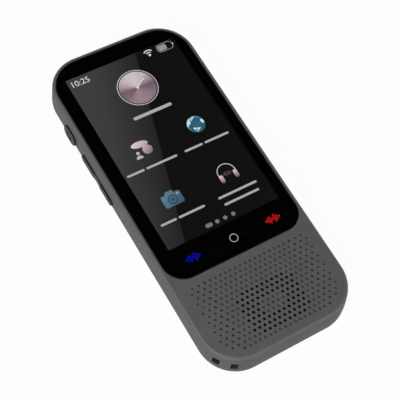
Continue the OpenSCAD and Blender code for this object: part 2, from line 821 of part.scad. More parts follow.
module volume_down_plunger() {
    color("#222222") plunger(volume_y - switch_arm, key_z);
}

module reset_switch() {
    color("#c8c8c8") switch_housing(reset_y, reset_z);
}

module reset_plunger() {
    color("#222222") plunger(reset_y, reset_z);
}

// ---------- main board ----------

module main_board() {
    color("#17472a") difference() {
        intersection() {
            translate([0, 0, board_low]) linear_extrude(board_t) body_outline(wall + board_gap);
            block([-body_w, board_low_y, 0], [body_w, body_l, body_t]);
        }
        block([-body_w, 0, 0], [inner_x, strip_top_y + 1, body_t]);
        for (p = boss_spots) translate([p[0], p[1], 0]) cylinder(h = body_t, r = screw_hole_r);
    }
}

module board_screws() {
    color("#b8b8bc") for (p = boss_spots) translate([p[0], p[1], board_low - head_h]) {
        difference() {
            cylinder(h = head_h, r = head_r);
            translate([0, 0, -eps]) cylinder(h = eps + socket_depth, d = socket_w, $fn = 6);
        }
        cylinder(h = head_h + board_t + boss_h - 0.1, r = screw_r);
    }
}

// folded sheet box, open towards the board
module shield(x, y, w, l) {
    difference() {
        block([x, y, board_low - shield_h], [x + w, y + l, board_low]);
        block([x + shield_t, y + shield_t, board_low - shield_h + shield_t],
            [x + w - shield_t, y + l - shield_t, body_t]);
    }
}

module chip(x, y, w, l) {
    block([x, y, board_low - chip_h], [x + w, y + l, board_low]);
}

module processor_shield() {
    color("#c4c4c6")
        shield(processor_shield_x, processor_shield_y, processor_shield_w, processor_shield_l);
}

module radio_shield() {
    color("#c4c4c6") shield(radio_shield_x, radio_shield_y, radio_shield_w, radio_shield_l);
}

module processor_chip() {
    color("#1a1a1c") chip(processor_shield_x + chip_margin,
        processor_shield_y + (processor_shield_l - processor_w) / 2, processor_w, processor_w);
}

module memory_chip() {
    color("#1a1a1c") chip(processor_shield_x + processor_shield_w - chip_margin - memory_w,
        processor_shield_y + (processor_shield_l - memory_l) / 2, memory_w, memory_l);
}

module radio_chip() {
    color("#1a1a1c") chip(radio_shield_x + (radio_shield_w - radio_chip_w) / 2,
        radio_shield_y + (radio_shield_l - radio_chip_w) / 2, radio_chip_w, radio_chip_w);
}

module usb_c_shell() {
    color("#c4c4c6") difference() {
        end_pill(usb_y - usb_l, usb_y, usb_z, usb_w, usb_h);
        end_pill(usb_y - usb_l + usb_back, usb_y + eps, usb_z, usb_w - 2 * usb_t, usb_h - 2 * usb_t);
    }
}

// contact tongue of a USB-C socket, rooted in the shell's back wall
usb_back = 1;
tongue_w = 6.7;
tongue_t = 0.7;

module usb_c_tongue() {
    color("#1a1a1c") block([-tongue_w / 2, usb_y - usb_l + usb_back, usb_z - tongue_t / 2],
        [tongue_w / 2, usb_y - 0.8, usb_z + tongue_t / 2]);
}

mic_w = 3.8;
mic_l = 3;
mic_h = 1.1;
mic_y = half_l - wall - 1.1;                  // front of the microphones

module microphones() {
    color("#c9a646") for (s = [-1, 1])
        block([s * mic_pitch / 2 - mic_w / 2, mic_y - mic_l, board_top],
            [s * mic_pitch / 2 + mic_w / 2, mic_y, board_top + mic_h]);
}

boot_w = mic_w + 0.6;
boot_room = 0.2;                              // the duct is wider than the hole in the wall
seal = 0.05;                                  // soft parts stop this short of what they seal

// rubber ducts between the microphones and their holes
module microphone_boots() {
    color("#242424") for (s = [-1, 1]) difference() {
        block([s * mic_pitch / 2 - boot_w / 2, mic_y + seal, board_top + seal],
            [s * mic_pitch / 2 + boot_w / 2, half_l - wall - seal, mid_low - seal]);
        translate([s * mic_pitch / 2, mic_y - eps, mic_z]) rotate([-90, 0, 0])
            cylinder(h = mic_l, r = mic_r + boot_room);
    }
}

// ---------- battery ----------

battery_corner_r = 1.5;
tape_margin = 5;                              // from the battery's edges to its tape
circuit_margin = 5;                           // from the battery's sides to its circuit board
circuit_l = 1.6;
lead_x = 3;
lead_w = 5;
lead_t = 0.4;
plug_h = 1.6;
plug_l = 4;
plug_y = board_low_y + 1.5;
pad_l = 8;
pad_margin = 6;

module battery() {
    color("#d5d7da") round_plate(battery_x + battery_w / 2, battery_top_y - battery_l / 2, battery_z,
        battery_w, battery_l, battery_t, battery_corner_r);
}

module battery_tape() {
    color("#f0f0f0")
        block([battery_x + tape_margin, battery_top_y - battery_l + tape_margin, mid_low - tape_t],
            [battery_x + battery_w - tape_margin, battery_top_y - tape_margin, mid_low]);
}

module battery_circuit() {
    color("#17472a") block([battery_x + circuit_margin, battery_top_y, battery_z + 1],
        [battery_x + battery_w - circuit_margin, battery_top_y + circuit_l, battery_z + battery_t - 1]);
}

module battery_lead() {
    color("#a51e1e") block([lead_x, battery_top_y + circuit_l, board_low - plug_h / 2 - lead_t / 2],
        [lead_x + lead_w, plug_y, board_low - plug_h / 2 + lead_t / 2]);
}

module battery_connector() {
    color("#d8d4c8")
        block([lead_x - 1, plug_y, board_low - plug_h], [lead_x + lead_w + 1, plug_y + plug_l, board_low]);
}

// pads on the rear cover that steady the battery
module battery_foam() {
    color("#303030") for (k = [0.25, 0.75])
        translate([battery_x, battery_top_y - k * battery_l, 0])
            block([pad_margin, -pad_l / 2, wall], [battery_w - pad_margin, pad_l / 2, battery_z - seal]);
}

// ---------- speaker ----------

gasket_z = skin_z - mesh_t - gasket_t;
frame_z = gasket_z - speaker_t;               // back of the speaker frame
frame_corner_r = 3;
gasket_w = 2;                                 // width of the gasket all round
mesh_margin = 1;                              // the mesh stops short of the gasket's edge
ear_t = 1.2;
ear_w = 5;
ear_z = gasket_z - 2.6;                       // back of the screw ears
cone_z = frame_z + 2.4;                       // ledge that the diaphragm is glued to
speaker_boss_r = 2.1;

module speaker_mesh() {
    color("#1b1b1b") round_plate(0, speaker_y, skin_z - mesh_t, speaker_w - 2 * mesh_margin,
        speaker_l - 2 * mesh_margin, mesh_t, frame_corner_r - mesh_margin);
}

module speaker_gasket() {
    color("#2a2a2a") difference() {
        round_plate(0, speaker_y, gasket_z, speaker_w, speaker_l, gasket_t, frame_corner_r);
        round_plate(0, speaker_y, gasket_z - eps, speaker_w - 2 * gasket_w, speaker_l - 2 * gasket_w,
            gasket_t + 2 * eps, frame_corner_r - gasket_w / 2);
    }
}

module speaker_frame() {
    color("#262628") difference() {
        union() {
            round_plate(0, speaker_y, frame_z, speaker_w, speaker_l, speaker_t, frame_corner_r);
            round_plate(0, speaker_y, ear_z, 2 * speaker_screw_x + ear_w, ear_w, ear_t, ear_w / 2 - 0.1);
        }
        translate([0, speaker_y, frame_z - eps]) cylinder(h = body_t, r = magnet_r + 0.1);
        translate([0, speaker_y, frame_z + 1.4]) cylinder(h = body_t, r = cone_r - 1);
        translate([0, speaker_y, cone_z]) cylinder(h = body_t, r = cone_r);
        for (s = [-1, 1])
            translate([s * speaker_screw_x, speaker_y, 0]) cylinder(h = body_t, r = screw_hole_r);
    }
}

// paper cone with a domed middle; its rim lies on the frame's ledge
module speaker_cone() {
    color("#3b3b3b") translate([0, speaker_y, cone_z]) rotate_extrude() polygon([
        [cone_r - 0.1, 0], [cone_r - 0.1, 0.4], [cone_r - 1.6, 0.7], [4.5, -0.3], [2.5, 0.4], [0, 0.6],
        [0, 0.3], [2.3, 0.1], [4.4, -0.6], [cone_r - 1.6, 0.35], [cone_r - 1, 0]]);
}

yoke_t = 1.2;
magnet_seat = 1;                              // depth of the magnet in the frame

// magnet with its steel plate, which lies on the back of the frame
module speaker_magnet() {
    color("#8c8c90") translate([0, speaker_y, frame_z]) {
        translate([0, 0, magnet_seat - magnet_t]) cylinder(h = magnet_t, r = magnet_r);
        translate([0, 0, -yoke_t]) cylinder(h = yoke_t, r = magnet_r + 1.2);
    }
}

module speaker_screws() {
    color("#b8b8bc") for (s = [-1, 1]) translate([s * speaker_screw_x, speaker_y, ear_z - head_h]) {
        difference() {
            cylinder(h = head_h, r = head_r);
            translate([0, 0, -eps]) cylinder(h = eps + socket_depth, d = socket_w, $fn = 6);
        }
        cylinder(h = head_h + ear_t + 1.8, r = screw_r);
    }
}

wire_x = side_x - 1.3;
wire_turn = 1.5;
wire_pitch = 1.2;
wire_out = 6.5;                               // from the speaker's middle to the first wire

// one wire: out of the speaker, round a bend and along the wall to the board
module wire(x, y) {
    translate([speaker_w / 2, y, wire_z]) rotate([0, 90, 0])
        cylinder(h = x - wire_turn - speaker_w / 2, r = wire_r);
    translate([x - wire_turn, y + wire_turn, wire_z]) rotate([0, 0, -90])
        rotate_extrude(angle = 90) translate([wire_turn, 0]) circle(r = wire_r);
    translate([x, y + wire_turn, wire_z]) rotate([-90, 0, 0])
        cylinder(h = board_low_y + 0.5 - y - wire_turn, r = wire_r);
}

module speaker_wires() {
    color("#b02020") {
        wire(wire_x, speaker_y + wire_out);
        wire(wire_x - wire_pitch, speaker_y + wire_out + wire_pitch);
    }
}

module speaker_connector() {
    color("#d8d4c8") block([wire_x - wire_pitch - 0.7, board_low_y + 0.5, board_top],
        [wire_x + 0.7, board_low_y + 4, mid_low - seal]);
}

// ---------- camera, flash and antenna, on the back ----------

camera_h = 4.2;
barrel_r = 3.2;
ring_lip = 0.8;                               // flange of the ring inside the back
ring_lip_t = 0.4;
window_seat = rear_recess + 0.3;
window_ledge = 0.35;

module camera_module() {
    color("#1c1c20") {
        block([camera_x - camera_w / 2, camera_y - camera_w / 2, board_low - camera_h],
            [camera_x + camera_w / 2, camera_y + camera_w / 2, board_low]);
        translate([camera_x, camera_y, wall + 0.5]) cylinder(h = board_low - camera_h - wall, r = barrel_r);
    }
}

// ring pressed in from the inside; its ledge carries the window
module camera_ring() {
    color("#8a8a8e") translate([camera_x, camera_y, 0]) difference() {
        union() {
            translate([0, 0, rear_recess]) cylinder(h = wall + 0.3 - rear_recess, r = camera_ring_r);
            translate([0, 0, wall]) cylinder(h = ring_lip_t, r = camera_ring_r + ring_lip);
        }
        translate([0, 0, -eps]) cylinder(h = wall + 2, r = window_r - window_ledge);
        translate([0, 0, window_seat]) cylinder(h = wall + 2, r = window_r + 0.04);
    }
}

module camera_window() {
    color("#20242c") translate([camera_x, camera_y, window_seat]) cylinder(h = window_t, r = window_r);
}

flash_lip = 0.6;
flash_lip_t = 0.5;
flash_led_w = 3.2;
flash_board_z = wall + 1.2;
flash_board_t = 0.6;
flash_board_l = 5;
flash_post_x = 4.2;                           // posts that carry the flash board

module flash_lens() {
    color("#e8e8d8") translate([camera_x, flash_y, 0]) {
        translate([0, 0, rear_recess]) cylinder(h = wall + 0.2 - rear_recess, r = flash_r);
        translate([0, 0, wall]) cylinder(h = flash_lip_t, r = flash_r + flash_lip);
    }
}

module flash_led() {
    color("#f0e070") translate([camera_x, flash_y, 0])
        block([-flash_led_w / 2, -flash_led_w / 2, wall + flash_lip_t],
            [flash_led_w / 2, flash_led_w / 2, flash_board_z]);
}

module flash_board() {
    color("#17472a") translate([camera_x, flash_y, flash_board_z])
        block([-flash_post_x - 1, -flash_board_l / 2, 0],
            [flash_post_x + 1, flash_board_l / 2, flash_board_t]);
}

antenna_w = 28;
antenna_l = 10;
antenna_x = camera_x - camera_ring_r - ring_lip - 1.6 - antenna_w;
antenna_y = camera_y - 3;
antenna_t = 0.2;
pin_r = 0.7;
pin_x = antenna_x + antenna_w - 3;

module wifi_antenna() {
    color("#a5641e")
        block([antenna_x, antenna_y, wall], [antenna_x + antenna_w, antenna_y + antenna_l, wall + antenna_t]);
}

// sprung contacts from the antenna to the board
module antenna_pins() {
    color("#c9a646") for (k = [0.3, 0.7])
        translate([pin_x, antenna_y + k * antenna_l, wall + antenna_t])
            cylinder(h = board_low - wall - antenna_t, r = pin_r);
}

// ---------- assembly ----------

front_cover();
rear_cover();
cover_glass();
glass_tape();
lcd_panel();
display_foam();
display_flex();
display_connector();
touch_key_board();
key_lights();
key_light_guide();
key_flex();
key_connector();
power_button();
volume_rocker();
side_switch_board();
side_switch_flex();
power_switch();
power_plunger();
volume_switches();
volume_up_plunger();
volume_down_plunger();
reset_switch();
reset_plunger();
main_board();
board_screws();
processor_shield();
radio_shield();
processor_chip();
memory_chip();
radio_chip();
usb_c_shell();
usb_c_tongue();
microphones();
microphone_boots();
battery();
battery_tape();
battery_circuit();
battery_lead();
battery_connector();
battery_foam();
speaker_mesh();
speaker_gasket();
speaker_frame();
speaker_cone();
speaker_magnet();
speaker_screws();
speaker_wires();
speaker_connector();
camera_module();
camera_ring();
camera_window();
flash_lens();
flash_led();
flash_board();
wifi_antenna();
antenna_pins();
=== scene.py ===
import math

import bmesh
import bpy
from mathutils import Matrix, Vector


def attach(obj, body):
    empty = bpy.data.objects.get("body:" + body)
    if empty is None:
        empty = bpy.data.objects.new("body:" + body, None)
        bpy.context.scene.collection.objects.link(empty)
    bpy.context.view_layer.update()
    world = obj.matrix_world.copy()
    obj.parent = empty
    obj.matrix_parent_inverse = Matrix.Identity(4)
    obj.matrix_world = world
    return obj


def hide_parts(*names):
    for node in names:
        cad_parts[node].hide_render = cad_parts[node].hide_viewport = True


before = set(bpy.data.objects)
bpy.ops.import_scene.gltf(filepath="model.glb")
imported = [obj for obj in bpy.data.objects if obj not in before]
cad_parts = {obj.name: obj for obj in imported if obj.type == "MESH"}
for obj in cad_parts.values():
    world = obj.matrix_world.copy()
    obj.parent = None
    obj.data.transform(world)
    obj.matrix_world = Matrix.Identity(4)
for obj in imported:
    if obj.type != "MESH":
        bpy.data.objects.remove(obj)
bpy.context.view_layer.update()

# ---------- camera ----------
# It stands off the lower left corner and looks down on the face from 61 degrees above the floor,
# turned so that the long side runs from the upper left to the lower right of the frame.


def added(name):
    """names the object that was just added"""
    bpy.context.object.name = name
    return bpy.context.object


bpy.ops.object.camera_add(location=(0, 0, 0.5))
camera = added("camera")
camera.matrix_world = Matrix((
    (0.85427, 0.39914, -0.33302, -0.150136),
    (-0.50424, 0.79197, -0.34427, -0.159618),
    (0.12633, 0.46202, 0.87782, 0.403822),
    (0, 0, 0, 1),
))
camera.data.sensor_width = 36
camera.data.lens = 99.11
camera.data.clip_start = 0.01
bpy.context.scene.camera = camera
bpy.context.scene.view_settings.view_transform = "Standard"

# ---------- floor and light ----------
# A white sweep under an even white surround, a softbox on the low left side and a smaller one on
# the right that the glass doesn't mirror. A dark card overhead keeps the surround out of the glass.
bpy.ops.mesh.primitive_plane_add(size=6, location=(0, 0, -0.00005))
floor = added("floor")
bpy.ops.object.transform_apply()


def grey(tone):
    """an even grey"""
    return tone, tone, tone


def given(node, values):
    """sets inputs of a node, by name or number"""
    for key, value in values.items():
        node.inputs[key].default_value = value
    return node


def finish(name, colour, roughness, metallic=0.0, gloss=0.5, clear=0.0):
    """a new finish with its shader set"""
    made = bpy.data.materials.new(name)
    made.use_nodes = True
    given(made.node_tree.nodes["Principled BSDF"], {
        "Base Color": (*colour, 1), "Roughness": roughness, "Metallic": metallic,
        "Specular IOR Level": gloss, "Transmission Weight": clear,
    })
    return made


def white_when_seen(tree, shade, light, share):
    """a shader that is plain light, to that share, for camera, glossy and transmission rays"""
    nodes, links = tree.nodes, tree.links
    path = nodes.new("ShaderNodeLightPath")
    seen = nodes.new("ShaderNodeMath")
    seen_through = nodes.new("ShaderNodeMath")
    seen_through.use_clamp = True
    part = given(nodes.new("ShaderNodeMath"), {1: share})
    part.operation = "MULTIPLY"
    both = nodes.new("ShaderNodeMixShader")
    links.new(path.outputs["Is Camera Ray"], seen.inputs[0])
    links.new(path.outputs["Is Glossy Ray"], seen.inputs[1])
    links.new(seen.outputs[0], seen_through.inputs[0])
    links.new(path.outputs["Is Transmission Ray"], seen_through.inputs[1])
    links.new(seen_through.outputs[0], part.inputs[0])
    links.new(part.outputs[0], both.inputs["Fac"])
    links.new(shade.outputs[0], both.inputs[1])
    links.new(light.outputs[0], both.inputs[2])
    return both.outputs[0]


floor_paint = finish("floor_paint", grey(0.4), 0.9, gloss=0.1)
tree = floor_paint.node_tree
glow = tree.nodes.new("ShaderNodeEmission")
tree.links.new(white_when_seen(tree, tree.nodes["Principled BSDF"], glow, 0.97),
               tree.nodes["Material Output"].inputs["Surface"])
floor.data.materials.append(floor_paint)

bpy.ops.mesh.primitive_plane_add(size=1.5, location=(0.32, 0.34, 0.95))
card = added("dark_card")
bpy.ops.object.transform_apply()
card.data.materials.append(finish("card_cloth", grey(0.004), 1.0, gloss=0.0))
card.visible_camera = False

world = bpy.data.worlds.new("surround")
bpy.context.scene.world = world
world.use_nodes = True
tree = world.node_tree
tree.nodes.clear()
surround = given(tree.nodes.new("ShaderNodeBackground"), {"Color": (1, 1, 1, 1), "Strength": 0.3})
backdrop = given(tree.nodes.new("ShaderNodeBackground"), {"Color": (1, 1, 1, 1)})
tree.links.new(white_when_seen(tree, surround, backdrop, 1.0),
               tree.nodes.new("ShaderNodeOutputWorld").inputs["Surface"])


def softbox(name, place, size, watts, mirrored):
    """a square softbox that faces the object; mirrored is whether the glass shows it"""
    bpy.ops.object.light_add(type="AREA", location=place)
    lamp = added(name)
    lamp.data.shape = "SQUARE"
    lamp.data.size = size
    lamp.data.energy = watts
    lamp.rotation_euler = Vector(place).to_track_quat("Z", "Y").to_euler()
    lamp.visible_camera = False
    lamp.visible_glossy = lamp.visible_transmission = mirrored


softbox("key_softbox", (-0.66, -0.4, 0.6), 0.45, 10, True)
softbox("right_softbox", (1.08, -0.22, 0.22), 0.4, 10, False)

# ---------- rear cover ----------
# The lower shell: a dished back of moulded grey plastic with a lip and six hooks that snap into the
# front cover. Its outer edge is broken at the seam, and the camera and flash look out through it.
mm = 0.001
seam_z = 3.2
face_z = 16
half_w = 32.9
half_l = 75.45
corner_r = 16
wall = 1.8
room_w = 31.1
room_l = 73.65
room_r = 14.2
room_top = 11.75
corner_steps = 28
lip_top = 4.9
hook_x = 29.425
hook_half = 0.525
eye_x = 16
camera_y = 58
flash_y = 47


def pick(kind, test):
    """in edit mode: selects the edges or faces that pass a test, and nothing else"""
    bpy.ops.mesh.select_mode(type=kind)
    bpy.ops.mesh.select_all(action="DESELECT")
    mesh = bmesh.from_edit_mesh(bpy.context.object.data)
    for part in mesh.edges if kind == "EDGE" else mesh.faces:
        if test(part):
            part.select_set(True)
    bmesh.update_edit_mesh(bpy.context.object.data)


def alone(piece):
    """selects one piece and no other"""
    bpy.ops.object.select_all(action="DESELECT")
    bpy.context.view_layer.objects.active = piece
    piece.select_set(True)


def pick_all():
    """in edit mode: selects the whole piece"""
    bpy.ops.mesh.select_all(action="SELECT")


def edit(piece):
    """opens a piece alone in edit mode"""
    alone(piece)
    bpy.ops.object.mode_set(mode="EDIT")


def leave_edit():
    """goes back to object mode"""
    bpy.ops.object.mode_set(mode="OBJECT")


def runs_along(edge, axis):
    """whether an edge is parallel to an axis"""
    a, b = (v.co for v in edge.verts)
    return abs(a[axis] - b[axis]) > 0.999 * (a - b).length


def all_at(part, axis, place):
    """whether an edge or face lies in one plane, given in millimetres"""
    return all(abs(v.co[axis] - place * mm) < 0.0005 * mm for v in part.verts)


def block(name, low, high):
    """a box between two corners in millimetres"""
    size = [(b - a) * mm for a, b in zip(low, high)]
    middle = [(a + b) / 2 * mm for a, b in zip(low, high)]
    bpy.ops.mesh.primitive_cube_add(size=1, location=middle, scale=size)
    piece = added(name)
    bpy.ops.object.transform_apply()
    return piece


def bevel(piece, test, width, steps):
    """rounds the edges that pass a test"""
    edit(piece)
    pick("EDGE", test)
    bpy.ops.mesh.bevel(offset=width * mm, segments=steps, affect="EDGES", clamp_overlap=False)
    leave_edit()


def slab(name, low, high, low_r, high_r, steps=12):
    """a box with rounded upright corners, low_r at the low end of Y and high_r at the other"""
    piece = block(name, low, high)
    for end, radius in ((low[1], low_r), (high[1], high_r)):
        if radius > 0:
            bevel(piece, lambda e: runs_along(e, 2) and all_at(e, 1, end), radius, steps)
    return piece


def pill(name, low, high, axis, radius, steps=8):
    """a box whose four edges along an axis are rounded"""
    piece = block(name, low, high)
    bevel(piece, lambda e: runs_along(e, axis), radius, steps)
    return piece


def rod(name, centre, radius, length, axis=2, sides=32):
    """a cylinder along an axis, from its middle, in millimetres"""
    turn = ((0, math.pi / 2, 0), (math.pi / 2, 0, 0), (0, 0, 0))[axis]
    bpy.ops.mesh.primitive_cylinder_add(vertices=sides, radius=radius * mm, depth=length * mm,
                                        location=[c * mm for c in centre], rotation=turn)
    piece = added(name)
    bpy.ops.object.transform_apply()
    return piece


def round_rim(piece, axis, place, radius, steps):
    """rounds the edge all round the face that closes a piece at one place along an axis"""
    bevel(piece, lambda e: all_at(e, axis, place) and e.calc_face_angle(0) > 1, radius, steps)


def boolean(piece, tool, how="DIFFERENCE"):
    """cuts a tool out of a piece, or joins it on, and takes the tool away"""
    alone(piece)
    cut = piece.modifiers.new("cut", "BOOLEAN")
    cut.operation = how
    cut.solver = "MANIFOLD"
    cut.material_mode = "TRANSFER" if len(tool.data.materials) else "INDEX"
    cut.object = tool
    bpy.ops.object.modifier_apply(modifier=cut.name)
    bpy.data.objects.remove(tool)


def join(name, pieces):
    """makes one object of several"""
    alone(pieces[0])
    for piece in pieces:
        piece.select_set(True)
    if len(pieces) > 1:
        bpy.ops.object.join()
    pieces[0].name = name
    return pieces[0]


def centred(name, across, along, low, high, radius):
    """a slab about the body's axis, given by half its width and half its length"""
    return slab(name, (-across, -along, low), (across, along, high), radius, radius, corner_steps)


def whole_body(name):
    """the closed outer form of the two shells"""
    body = centred(name, half_w, half_l, 0, face_z, corner_r)
    round_rim(body, 2, face_z, 1.35, 7)
    round_rim(body, 2, 0, 7, 16)
    return body


def rear_room(name):
    """the hollow between the shells, one wall inside the outer form"""
    room = centred(name, room_w, room_l, wall, room_top, room_r)
    round_rim(room, 2, wall, 5.2, 14)
    return room


def cut_level(piece, height, above):
    """cuts a piece off level at a height, closes it, and keeps the part above or below"""
    edit(piece)
    pick_all()
    bpy.ops.mesh.bisect(plane_co=(0, 0, height * mm), plane_no=(0, 0, 1), use_fill=True,
                        clear_inner=above, clear_outer=not above)
    leave_edit()


def depth_in_outline(point):
    """how far a point lies inside the outline of the body seen from the front"""
    x = max(abs(point.x) / mm - (half_w - corner_r), 0)
    y = max(abs(point.y) / mm - (half_l - corner_r), 0)
    return corner_r - math.hypot(x, y)


def break_seam(piece):
    """takes the sharp edge off the outside of the seam"""
    bevel(piece, lambda e: all_at(e, 2, seam_z) and all(1 < depth_in_outline(v.co) < 1.3 for v in e.verts),
          0.12, 1)


def smooth(piece):
    """merges doubles, shades by angle and lets the large faces keep their flatness"""
    edit(piece)
    pick_all()
    bpy.ops.mesh.remove_doubles(threshold=0.0002 * mm)
    leave_edit()
    bpy.ops.object.shade_smooth_by_angle(angle=math.radians(32))
    weigh = piece.modifiers.new("weigh", "WEIGHTED_NORMAL")
    weigh.keep_sharp = True
    bpy.ops.object.modifier_apply(modifier=weigh.name)
    return piece


def own_place(made):
    """the coordinates of the piece itself, for the nodes of a finish"""
    return made.node_tree.nodes.new("ShaderNodeTexCoord").outputs["Object"]


def pattern(made, size, detail=3.0, stretch=(1, 1, 1)):
    """a noise over the piece, its grain size in millimetres, stretched along the axes"""
    nodes, links = made.node_tree.nodes, made.node_tree.links
    turn = given(nodes.new("ShaderNodeMapping"), {"Scale": stretch})
    noise = given(nodes.new("ShaderNodeTexNoise"), {"Scale": 1 / (size * mm), "Detail": detail})
    links.new(own_place(made), turn.inputs["Vector"])
    links.new(turn.outputs["Vector"], noise.inputs["Vector"])
    return noise.outputs["Fac"]


def feed(made, name, output):
    """links an output to an input of the finish's shader"""
    made.node_tree.links.new(output, made.node_tree.nodes["Principled BSDF"].inputs[name])


def ramp(made, height, stops):
    """colours at places along a value that runs from 0 to 1"""
    tones = made.node_tree.nodes.new("ShaderNodeValToRGB")
    while len(tones.color_ramp.elements) < len(stops):
        tones.color_ramp.elements.new(0.5)
    for element, (position, colour) in zip(tones.color_ramp.elements, stops):
        element.position = position
        element.color = (*colour, 1)
    made.node_tree.links.new(height, tones.inputs["Fac"])
    return tones.outputs["Color"]


def tinted(made, height, dark, light, low=0.3, high=0.7):
    """colour that goes between two tones with a pattern"""
    feed(made, "Base Color", ramp(made, height, [(low, dark), (high, light)]))


def glossed(made, height, low, high):
    """roughness that goes between two values with a pattern"""
    span = given(made.node_tree.nodes.new("ShaderNodeMapRange"), {
        "From Min": 0.3, "From Max": 0.7, "To Min": low, "To Max": high,
    })
    made.node_tree.links.new(height, span.inputs["Value"])
    feed(made, "Roughness", span.outputs["Result"])


def raised(made, height, depth):
    """relief of a depth in millimetres"""
    relief = given(made.node_tree.nodes.new("ShaderNodeBump"), {"Strength": 1.0, "Distance": depth * mm})
    made.node_tree.links.new(height, relief.inputs["Height"])
    feed(made, "Normal", relief.outputs["Normal"])


def moulded(name, dark, light, roughness, grain, depth, gloss=0.5):
    """moulded plastic, or with less gloss foam, tape or rubber: a fine grain with smoother patches"""
    made = finish(name, light, roughness, gloss=gloss)
    tinted(made, pattern(made, 6), dark, light)
    glossed(made, pattern(made, 1.7, 5), roughness - 0.05, roughness + 0.05)
    raised(made, pattern(made, grain, 4), depth)
    return made


def fit(piece, look, slot, *nodes, body="housing"):
    """gives a piece its finish, its body and the nodes that it stands for"""
    if look.name not in piece.data.materials:
        piece.data.materials.clear()
        piece.data.materials.append(look)
    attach(piece, body)
    if nodes:
        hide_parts(*nodes)
    return piece


def dress(look, *nodes):
    """gives nodes of the frame their finish"""
    for node in nodes:
        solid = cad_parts[node].data
        solid.materials.clear()
        solid.materials.append(look)


def flare(drill, axis, place, back, out, widen):
    """draws the end of a drill back and then out and wide, so that it breaks the edge of its hole"""
    way = Vector([axis == i for i in range(3)])
    edit(drill)
    pick("FACE", lambda f: all_at(f, axis, place))
    bpy.ops.transform.translate(value=way * (back * mm))
    bpy.ops.mesh.extrude_region_move(TRANSFORM_OT_translate={"value": way * (out * mm)})
    bpy.ops.transform.resize(value=[1 if axis == i else widen for i in range(3)])
    leave_edit()


rear = whole_body("rear_shell")
cut_level(rear, seam_z, above=False)
boolean(rear, rear_room("room"))
lip = centred("lip", 29.3, 71.85, 2.1, lip_top, 12.4)
boolean(lip, centred("inside", 28.1, 70.65, wall, 6, 11.2))
boolean(rear, lip, "UNION")
for side in (-1, 1):
    for y in (-48, 0, 48):
        x = side * hook_x
        hook = block("hook", (x - hook_half, y - 3, 4.1), (x + hook_half, y + 3, lip_top))
        bevel(hook, lambda e: runs_along(e, 1) and all_at(e, 0, x + side * hook_half)
              and all_at(e, 2, lip_top), 0.35, 2)
        boolean(rear, hook, "UNION")
    boolean(rear, rod("post", (eye_x + side * 4.2, flash_y, 2.35), 0.7, 1.3), "UNION")
for y, radius in ((camera_y, 5.65), (flash_y, 2.65)):
    hole = rod("hole", (eye_x, y, 1.2), radius, 2.0, sides=64)
    flare(hole, 2, 0.2, 0, -0.5, (radius + 0.5) / radius)
    boolean(rear, hole)
break_seam(rear)
smooth(rear)
shell_plastic = moulded("shell_plastic", (0.084, 0.084, 0.087), (0.093, 0.093, 0.096), 0.52, 0.22, 0.012,
                        0.08)
fit(rear, shell_plastic, "rear_shell", "rear_cover")

# ---------- camera ring, window and flash lens ----------
# A turned and anodised ring is pressed into the back from the inside. The camera window lies on its
# ledge, and the flash lens is a clear moulding with rings that spread the light.


def turned(name, centre, outline, steps=64):
    """a turned piece: (radius, height) points spun once round an upright axis, which a disc starts on"""
    bpy.ops.mesh.primitive_plane_add(size=1)
    piece = added(name)
    edit(piece)
    mesh = bmesh.from_edit_mesh(piece.data)
    bmesh.ops.delete(mesh, geom=mesh.verts[:], context="VERTS")
    points = [mesh.verts.new(((centre[0] + r) * mm, centre[1] * mm, z * mm)) for r, z in outline]
    closed = outline[0][0] > 0
    for a, b in zip(points, points[1:] + points[:closed]):
        mesh.edges.new((a, b))
    bmesh.update_edit_mesh(piece.data)
    pick_all()
    bpy.ops.mesh.spin(steps=steps, angle=2 * math.pi, center=(centre[0] * mm, centre[1] * mm, 0),
                      axis=(0, 0, 1))
    pick_all()
    bpy.ops.mesh.remove_doubles(threshold=0.001 * mm)
    bpy.ops.mesh.normals_make_consistent(inside=False)
    leave_edit()
    bpy.ops.object.shade_smooth_by_angle(angle=math.radians(28))
    return piece


ring = turned("trim_ring", (eye_x, camera_y), [
    (4.35, 0.1), (5.45, 0.1), (5.6, 0.25), (5.6, 1.8), (6.4, 1.8), (6.4, 2.2), (4.29, 2.2), (4.29, 0.4),
    (3.9, 0.4), (3.9, 0.3), (4.1, 0.1),
])
ring_metal = finish("ring_metal", (0.28, 0.28, 0.3), 0.3, 1.0)
glossed(ring_metal, pattern(ring_metal, 0.5, 4), 0.24, 0.36)
raised(ring_metal, pattern(ring_metal, 0.15, 4, (1, 1, 0.1)), 0.004)
fit(ring, ring_metal, "camera_trim", "camera_ring")

window = turned("window_disc", (eye_x, camera_y), [(0, 0.4), (4.1, 0.4), (4.25, 0.5), (4.25, 1.2), (0, 1.2)])
window_glass = finish("window_glass", (0.02, 0.022, 0.028), 0.03)
given(window_glass.node_tree.nodes["Principled BSDF"], {"Coat Weight": 1.0, "Coat Roughness": 0.02})
glossed(window_glass, pattern(window_glass, 2.5), 0.02, 0.05)
tinted(window_glass, pattern(window_glass, 3), (0.012, 0.013, 0.018), (0.02, 0.022, 0.03))
fit(window, window_glass, "camera_window", "camera_window")

rings_of_lens = [(0, 0.12)]
for k in range(6):
    rings_of_lens += [(0.25 + 0.38 * k, 0.2), (0.44 + 0.38 * k, 0.1)]
lens = turned("flash_cover", (eye_x, flash_y), rings_of_lens + [
    (2.5, 0.1), (2.6, 0.2), (2.6, 1.8), (3.2, 1.8), (3.2, 2.3), (0, 2.3),
], 48)
lens_plastic = finish("lens_plastic", (0.82, 0.8, 0.7), 0.12, clear=0.6)
glossed(lens_plastic, pattern(lens_plastic, 0.8), 0.08, 0.16)
fit(lens, lens_plastic, "flash_lens", "flash_lens")

